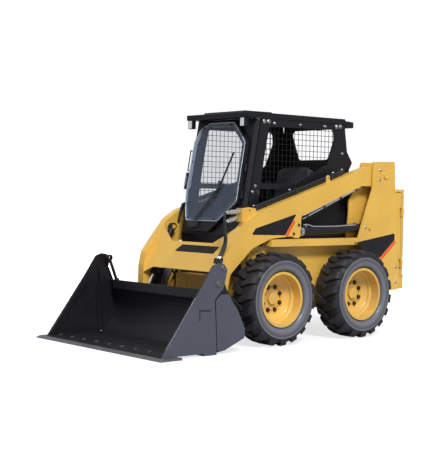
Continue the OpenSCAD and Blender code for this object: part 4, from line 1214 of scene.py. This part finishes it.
def make_bucket_trim():
    """The bucket's pins, the jaw's marks, pockets and rim beads, and the seals of its split."""
    painted_shade_marks, pins, pockets, seals, beads = [], [], [], [], []
    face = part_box("bucket_jaw")[1].y
    for side in (1, -1):
        for joint, radius in (("jaw_open", 0.026), ("clam_rod_slide", 0.020)):
            x, z = joint_place(joint)
            pins.append(cap("pin", (x, side * (face - 0.0045), z), radius, 0.009, "edge_steel",
                            side))
        # Painted shade: a thin dark L-shaped strip along the top and front edges of each raised
        # pocket.
        painted_shade_marks.append(prism("mark", [(1.128, 0.356), (1.241, 0.362), (1.240, 0.277),
                                    (1.232, 0.277), (1.233, 0.351), (1.128, 0.345)],
                           JAW_SIDE, JAW_SIDE + 0.0030, "moulded_plastic", on_side(side)))
        pockets.append(prism("pocket", [(1.135, 0.340), (1.226, 0.345), (1.225, 0.284),
                                        (1.135, 0.280)],
                             JAW_SIDE, JAW_SIDE + 0.0014, "bucket_paint", on_side(side), 0.0006))
        overlap = [ahead(a, b) for a, b in ((0.694, 0.500), (0.730, 0.500), (0.812, 0.430),
                                            (0.790, 0.031), (0.742, 0.031), (0.757, 0.420))]
        seals.append(prism("seal", overlap, 0.7835, 0.7895, "bucket_paint", on_side(side)))
        bead = [Vector((FRONT_AXLE.x + a, side * (face - 0.0085), b + 0.0005))
                for a, b in ((0.9885, 0.4560), (1.2680, 0.0785))]
        beads.append(bars("rim_bead", [bead], 0.0030, "edge_steel"))
    settle(join("bucket_pins", pins), "carrier")
    settle(join("jaw_marks", painted_shade_marks + beads), "jaw")
    settle(join("jaw_pockets", pockets), "jaw")
    settle(join("split_seals", seals), "carrier")


def make_front_trim():
    """The cross-member's bare black plate, the footwell's seam and lip, and its hoses."""
    plate = rounded([(-0.176, 0.165, 0.006), (0.340, 0.165, 0.006), (0.386, 0.232, 0.006),
                     (-0.104, 0.232, 0.006)])
    settle(prism("cross_plate", plate, 0.0003, 0.0016, "panel_black", on_cross), "boom")
    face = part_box("chassis_frame")[1].x
    seam = box("seam", (face + PROUD, -0.1392, 0.345), (face + 0.0008, -0.1372, 0.552),
               "moulded_plastic", 0)
    lip = box("lip", (face + PROUD, -0.288, 0.5445), (face + 0.0030, 0.288, 0.5530), "enamel",
              0.001)
    settle(join("footwell_trim", [seam, lip]), "chassis")
    runs = [smooth_path([(face - 0.10, y, z - 0.11), (face - 0.035, y - 0.006, z - sag),
                         (face - 0.055, y + 0.004, z + 0.03), (face - 0.13, y, z + 0.09)], 10)
            for y, z, sag in ((-0.315, 0.600, 0.060), (-0.345, 0.575, 0.075),
                              (-0.375, 0.620, 0.050))]
    settle(bars("footwell_hoses", runs, 0.0095, "hose_rubber", 10), "chassis")
    nuts = [bars("nut", [[run[0], run[0].lerp(run[6], 0.9)]], 0.0125, "zinc", 6) for run in runs]
    settle(join("footwell_unions", nuts), "chassis")


HOSE_ROUTES = [[(1.442, 1.104), (1.464, 1.076), (1.452, 0.950), (1.444, 0.870), (1.466, 0.792),
                (1.514, 0.726)],
               [(1.420, 1.031), (1.438, 1.012), (1.438, 0.950), (1.434, 0.870), (1.466, 0.792),
                (1.510, 0.724)]]


def make_hoses():
    """The two hoses from the couplers down the left arm, with their unions and foot clamp."""
    parts, unions = [], []
    low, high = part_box("arm_hoses")
    middle = (low.y + high.y) / 2
    for route, y in zip(HOSE_ROUTES, (middle + 0.013, middle - 0.013)):
        path = smooth_path([(back(x, z)[0], y, z) for x, z in route])
        parts.append(bars("hose", [path], 0.0112, "hose_rubber", 14))
        for a, b in ((path[0], path[3]), (path[-1], path[-4])):
            unions.append(bars("union", [[a, a.lerp(b, 0.8)]], 0.0140, "zinc", 6))
    grip = rounded([(*back(1.4895, 0.735), 0.004), (*back(1.530, 0.735), 0.006),
                    (*back(1.542, 0.690), 0.006), (*back(1.5015, 0.690), 0.004)])
    clamp = prism("clamp", grip, middle - 0.032, middle + 0.032, "moulded_plastic", on_side(),
                  0.002)
    hoses = join("arm_hoses_smooth", parts + [clamp])
    settle(hoses, "boom")
    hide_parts("arm_hoses")
    settle(join("hose_unions", unions), "boom")


def make_cylinder_trim():
    """Glands and ports of the lift cylinders, and the ends of the towers' pins."""
    base, eye = (Vector(JOINTS[name]["pos_m"]) for name in ("lift_barrel_turn", "lift_rod_slide"))
    way = Vector(JOINTS["lift_rod_slide"]["axis"]).normalized()
    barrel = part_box("lift_barrels")[1]
    glands, ports, ends = [], [], []
    for side in (1, -1):
        y = side * (barrel.y - 0.039)
        drop = (eye.z - base.z) * (barrel.x - base.x) / (eye.x - base.x)
        mouth = Vector((barrel.x, y, base.z + drop))
        for far, near, radius, look in ((0.040, 0.004, 0.0415, "zinc"),
                                        (0.120, 0.112, 0.0405, "satin_black")):
            glands.append(bars("gland", [[mouth - way * far, mouth - way * near]], radius, look,
                               40))
        for share in (0.16, 0.90):
            spot = base.lerp(mouth, share)
            spot.y = y
            ports.append(box("port", spot + Vector((-0.016, -0.012, 0.034)),
                             spot + Vector((0.016, 0.012, 0.050)), "zinc", 0.003))
        for joint, radius in (("boom_lift", 0.030), ("lift_barrel_turn", 0.020)):
            x, z = joint_place(joint)
            ends.append(cap("pin_end", (x, side * TOWER_PIN_OUT, z), radius, 0.004, "enamel",
                            side))
    settle(join("lift_glands", glands), "lift_barrel")
    settle(join("lift_ports", ports), "lift_barrel")
    settle(join("tower_pin_ends", ends), "chassis")


TOWER_BOLTS = [(-0.381, 1.500), (-0.377, 1.410), (-0.188, 0.973), (-0.62, 0.60), (-0.62, 0.46)]
CAB_BOLTS = [(0.919, 1.881), (0.868, 1.884), (0.797, 1.872), (0.485, 1.874), (0.174, 1.876),
             (0.026, 1.882), (-0.024, 1.885), (-0.055, 1.640), (0.059, 1.464), (-0.055, 1.493),
             (1.013, 1.330), (1.043, 1.279), (1.020, 1.160), (0.600, 1.300), (0.300, 1.300)]
CAB_RINGS = [(0.919, 1.881), (0.868, 1.884), (0.026, 1.882), (-0.024, 1.885)]
ARM_BOLTS = [(0.64, 1.00), (0.70, 0.925)]


def side_bolts(places, side, face):
    """Places and ways of bolts on an outer face."""
    return [(Vector((back(x, z)[0], side * face, z)), (0, side, 0)) for x, z in places]


def make_bolts():
    """Bolt heads of towers, cab, arms and cutting edge, the edge's strip and the cab's rings."""
    size = bpy.context.scene.loader_fittings.bolt
    fixed, boom, rings, latches = [], [], [], []
    for side in (1, -1):
        fixed += side_bolts(TOWER_BOLTS, side, TOWER_OUT)
        fixed += side_bolts(CAB_BOLTS, side, CAB_OUT)
        boom += side_bolts(ARM_BOLTS, side, ARM_OUT)
        y = side * (CAB_OUT + PROUD)
        rings += [cap("ring", (back(x, z)[0], y, z), 0.019, 0.006, "zinc", side)
                  for x, z in CAB_RINGS]
        latches.append(cap("latch", (back(0.981, 0)[0], y, 1.275), 0.022, 0.005,
                           "moulded_plastic", side))
    low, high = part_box("cutting_edge")
    edge = [(Vector((high.x - 0.150, -0.72 + i * 0.18, low.z + 0.0190)), (0, 0, 1))
            for i in range(9)]
    strip = box("edge_strip", (high.x - 0.203, -0.790, high.z + PROUD),
                (high.x - 0.168, 0.790, high.z + 0.0052), "edge_steel", 0.001)
    settle(strip, "jaw")
    settle(bolts("cab_and_tower_bolts", fixed, size, "zinc"), "chassis")
    settle(join("cab_rings", rings), "chassis")
    settle(join("cab_latches", latches), "chassis")
    settle(bolts("arm_bolts", boom, size), "boom")
    settle(bolts("edge_bolts", edge, 0.016, "edge_steel"), "jaw")


# Stage

CAMERA_AT = (6.6299, 7.2863, 1.2422)
CAMERA_TURN = (40.878, 1.503, 0.887)  # yaw, pitch and roll in degrees
CAMERA_LENS = 1100.03 / 449 * 36  # fitted focal length and the picture's side in pixels, in mm
FADE_FROM, FADE_TO, FADE_SHARE = 1.6, 4.2, 0.38
FLOOR_WHITE, WHITE = 1.9, (1, 1, 1)


def white_for_camera(graph, share, lit, white, end):
    """Shows the camera a plain white in place of a lit surface, by a share."""
    mix = add_node(graph, "ShaderNodeMixShader", None,
                   {0: share, 1: lit.outputs[0], 2: white.outputs[0]})
    plug(graph, graph.nodes[end].inputs[0], mix.outputs[0])


def make_floor():
    """A pale floor that fades to the white backdrop."""
    mesh = bpy.data.meshes.new("floor")
    floor = shown("floor", mesh)
    work = bmesh.new()
    bmesh.ops.create_circle(work, cap_ends=True, segments=96,
                            radius=bpy.context.scene.loader_stage.floor)
    work.to_mesh(mesh)
    work.free()
    ground = bpy.data.materials.new("pale_floor")
    ground.use_nodes = True
    graph = ground.node_tree
    lit = graph.nodes["Principled BSDF"]
    plug(graph, lit.inputs["Base Color"], (0.50, 0.50, 0.51))
    plug(graph, lit.inputs["Roughness"], 0.9)
    white = add_node(graph, "ShaderNodeEmission", None,
                     {"Color": WHITE, "Strength": FLOOR_WHITE})
    place = add_node(graph, "ShaderNodeTexCoord").outputs["Object"]
    reach = add_node(graph, "ShaderNodeVectorMath", {"operation": "LENGTH"}, {0: place})
    fade = add_node(graph, "ShaderNodeMapRange", {"interpolation_type": "SMOOTHSTEP"},
                    {"Value": reach.outputs["Value"], "From Min": FADE_FROM,
                     "From Max": FADE_TO, "To Min": FADE_SHARE})
    camera_ray = add_node(graph, "ShaderNodeLightPath").outputs["Is Camera Ray"]
    share = add_node(graph, "ShaderNodeMath", {"operation": "MULTIPLY"},
                     {0: fade.outputs[0], 1: camera_ray}).outputs[0]
    white_for_camera(graph, share, lit, white, "Material Output")
    mesh.materials.append(ground)


def make_light():
    """A soft sky that is brighter overhead, white to the camera, and one broad key lamp."""
    scene = bpy.context.scene
    settings = scene.loader_stage
    scene.world = bpy.data.worlds.new("studio")
    scene.world.use_nodes = True
    graph = scene.world.node_tree
    sky = graph.nodes["Background"]
    plug(graph, sky.inputs["Color"], (0.96, 0.98, 1.0))
    place = add_node(graph, "ShaderNodeTexCoord").outputs["Generated"]
    height = add_node(graph, "ShaderNodeSeparateXYZ", None, {0: place}).outputs[2]
    rise = add_node(graph, "ShaderNodeMapRange", None,
                    {"Value": height, "From Min": -0.1, "To Min": settings.sky * 0.55,
                     "To Max": settings.sky * 1.75})
    plug(graph, sky.inputs["Strength"], rise.outputs[0])
    white = add_node(graph, "ShaderNodeBackground", None, {"Color": WHITE})
    camera_ray = add_node(graph, "ShaderNodeLightPath").outputs["Is Camera Ray"]
    white_for_camera(graph, camera_ray, sky, white, "World Output")

    key = shown("key", bpy.data.lights.new("key", "SUN"))
    key.data.energy = settings.key
    key.data.angle = math.radians(14)
    key.rotation_euler = Vector((-0.35, -0.75, -0.80)).to_track_quat("-Z", "Y").to_euler()


def make_camera():
    """The camera at the photograph's angle."""
    camera = shown("camera", bpy.data.cameras.new("camera"))
    yaw, pitch, roll = (math.radians(a) for a in CAMERA_TURN)
    view = Vector((-math.sin(yaw) * math.cos(pitch), -math.cos(yaw) * math.cos(pitch),
                   -math.sin(pitch)))
    right = view.cross(Vector((0, 0, 1))).normalized()
    up = right.cross(view)
    x_axis = right * math.cos(roll) + up * math.sin(roll)
    y_axis = up * math.cos(roll) - right * math.sin(roll)
    turn = Matrix((x_axis, y_axis, -view)).transposed()
    camera.matrix_world = Matrix.Translation(CAMERA_AT) @ turn.to_4x4()
    camera.data.lens = CAMERA_LENS
    camera.data.clip_end = 100
    bpy.context.scene.camera = camera
    bpy.context.scene.view_settings.view_transform = "Standard"


def make_stage():
    make_floor()
    make_light()
    make_camera()


# The add-on's operators, its panel and its run


def operator(suffix, label, words, work):
    """An operator class that does one piece of the dressing."""
    def execute(self, context):
        work()
        return {"FINISHED"}
    return type("LOADER_OT_" + suffix, (bpy.types.Operator,), {
        "bl_idname": "loader." + suffix, "bl_label": label, "__doc__": words, "execute": execute})


OPERATORS = [operator(*row) for row in (
    ("stage", "Stage", "Makes the floor, the light and the camera", make_stage),
    ("paint", "Paint", "Gives every CAD node its finish", dress_cad),
    ("wheels", "Wheels", "Makes the cleated tyres and wheel nuts", make_wheels),
    ("side_panels", "Side panels", "Makes the black side panels and their stripes",
     make_side_panels),
    ("guards", "Guards", "Makes the wire guards of the windows", make_guards),
    ("door", "Door", "Makes the door's pane edge, wiper and latch", make_door),
    ("lamps", "Lamps", "Makes the lamps' lenses", make_lamps),
    ("seat", "Seat", "Makes the padded seat", make_seat),
    ("rear", "Rear", "Makes the louvres and the catch of the tail", make_rear),
    ("lines", "Lines", "Makes the hoses and steel lines of the boom", make_lines),
    # The bucket trim includes painted shade: dark strips beside the jaw's pockets.
    ("bucket_trim", "Bucket trim", "Makes the bucket's pins and marks", make_bucket_trim),
    ("front_trim", "Front trim", "Makes the cross-member's plate and the footwell's trim",
     make_front_trim),
    ("hoses", "Hoses", "Makes the hoses of the left arm", make_hoses),
    ("cylinder_trim", "Cylinder trim", "Makes the glands, ports and pin ends of the cylinders",
     make_cylinder_trim),
    ("bolts", "Bolts", "Makes the bolt heads", make_bolts),
)]


class LOADER_PT_dressing(bpy.types.Panel):
    """Lists the loader's sizes, colours and pieces"""

    bl_label = "Loader"
    bl_space_type = "VIEW_3D"
    bl_region_type = "UI"
    bl_category = "Loader"

    def draw(self, context):
        for group in GROUPS:
            settings = getattr(context.scene, group)
            for name in settings.__annotations__:
                self.layout.prop(settings, name)
        for piece in OPERATORS:
            self.layout.operator(piece.bl_idname)


GROUPS = {"loader_paint": LoaderPaint, "loader_wheels": LoaderWheels,
          "loader_fittings": LoaderFittings, "loader_stage": LoaderStage}


def register():
    for group in (*GROUPS.values(), *OPERATORS, LOADER_PT_dressing):
        bpy.utils.register_class(group)
    for name, group in GROUPS.items():
        setattr(bpy.types.Scene, name, PointerProperty(type=group))


def unregister():
    for name in GROUPS:
        delattr(bpy.types.Scene, name)
    for group in reversed((*GROUPS.values(), *OPERATORS, LOADER_PT_dressing)):
        bpy.utils.unregister_class(group)


def main():
    register()
    for piece in OPERATORS:
        getattr(bpy.ops.loader, piece.bl_idname.split(".")[1])()


if __name__ == "__main__":
    main()
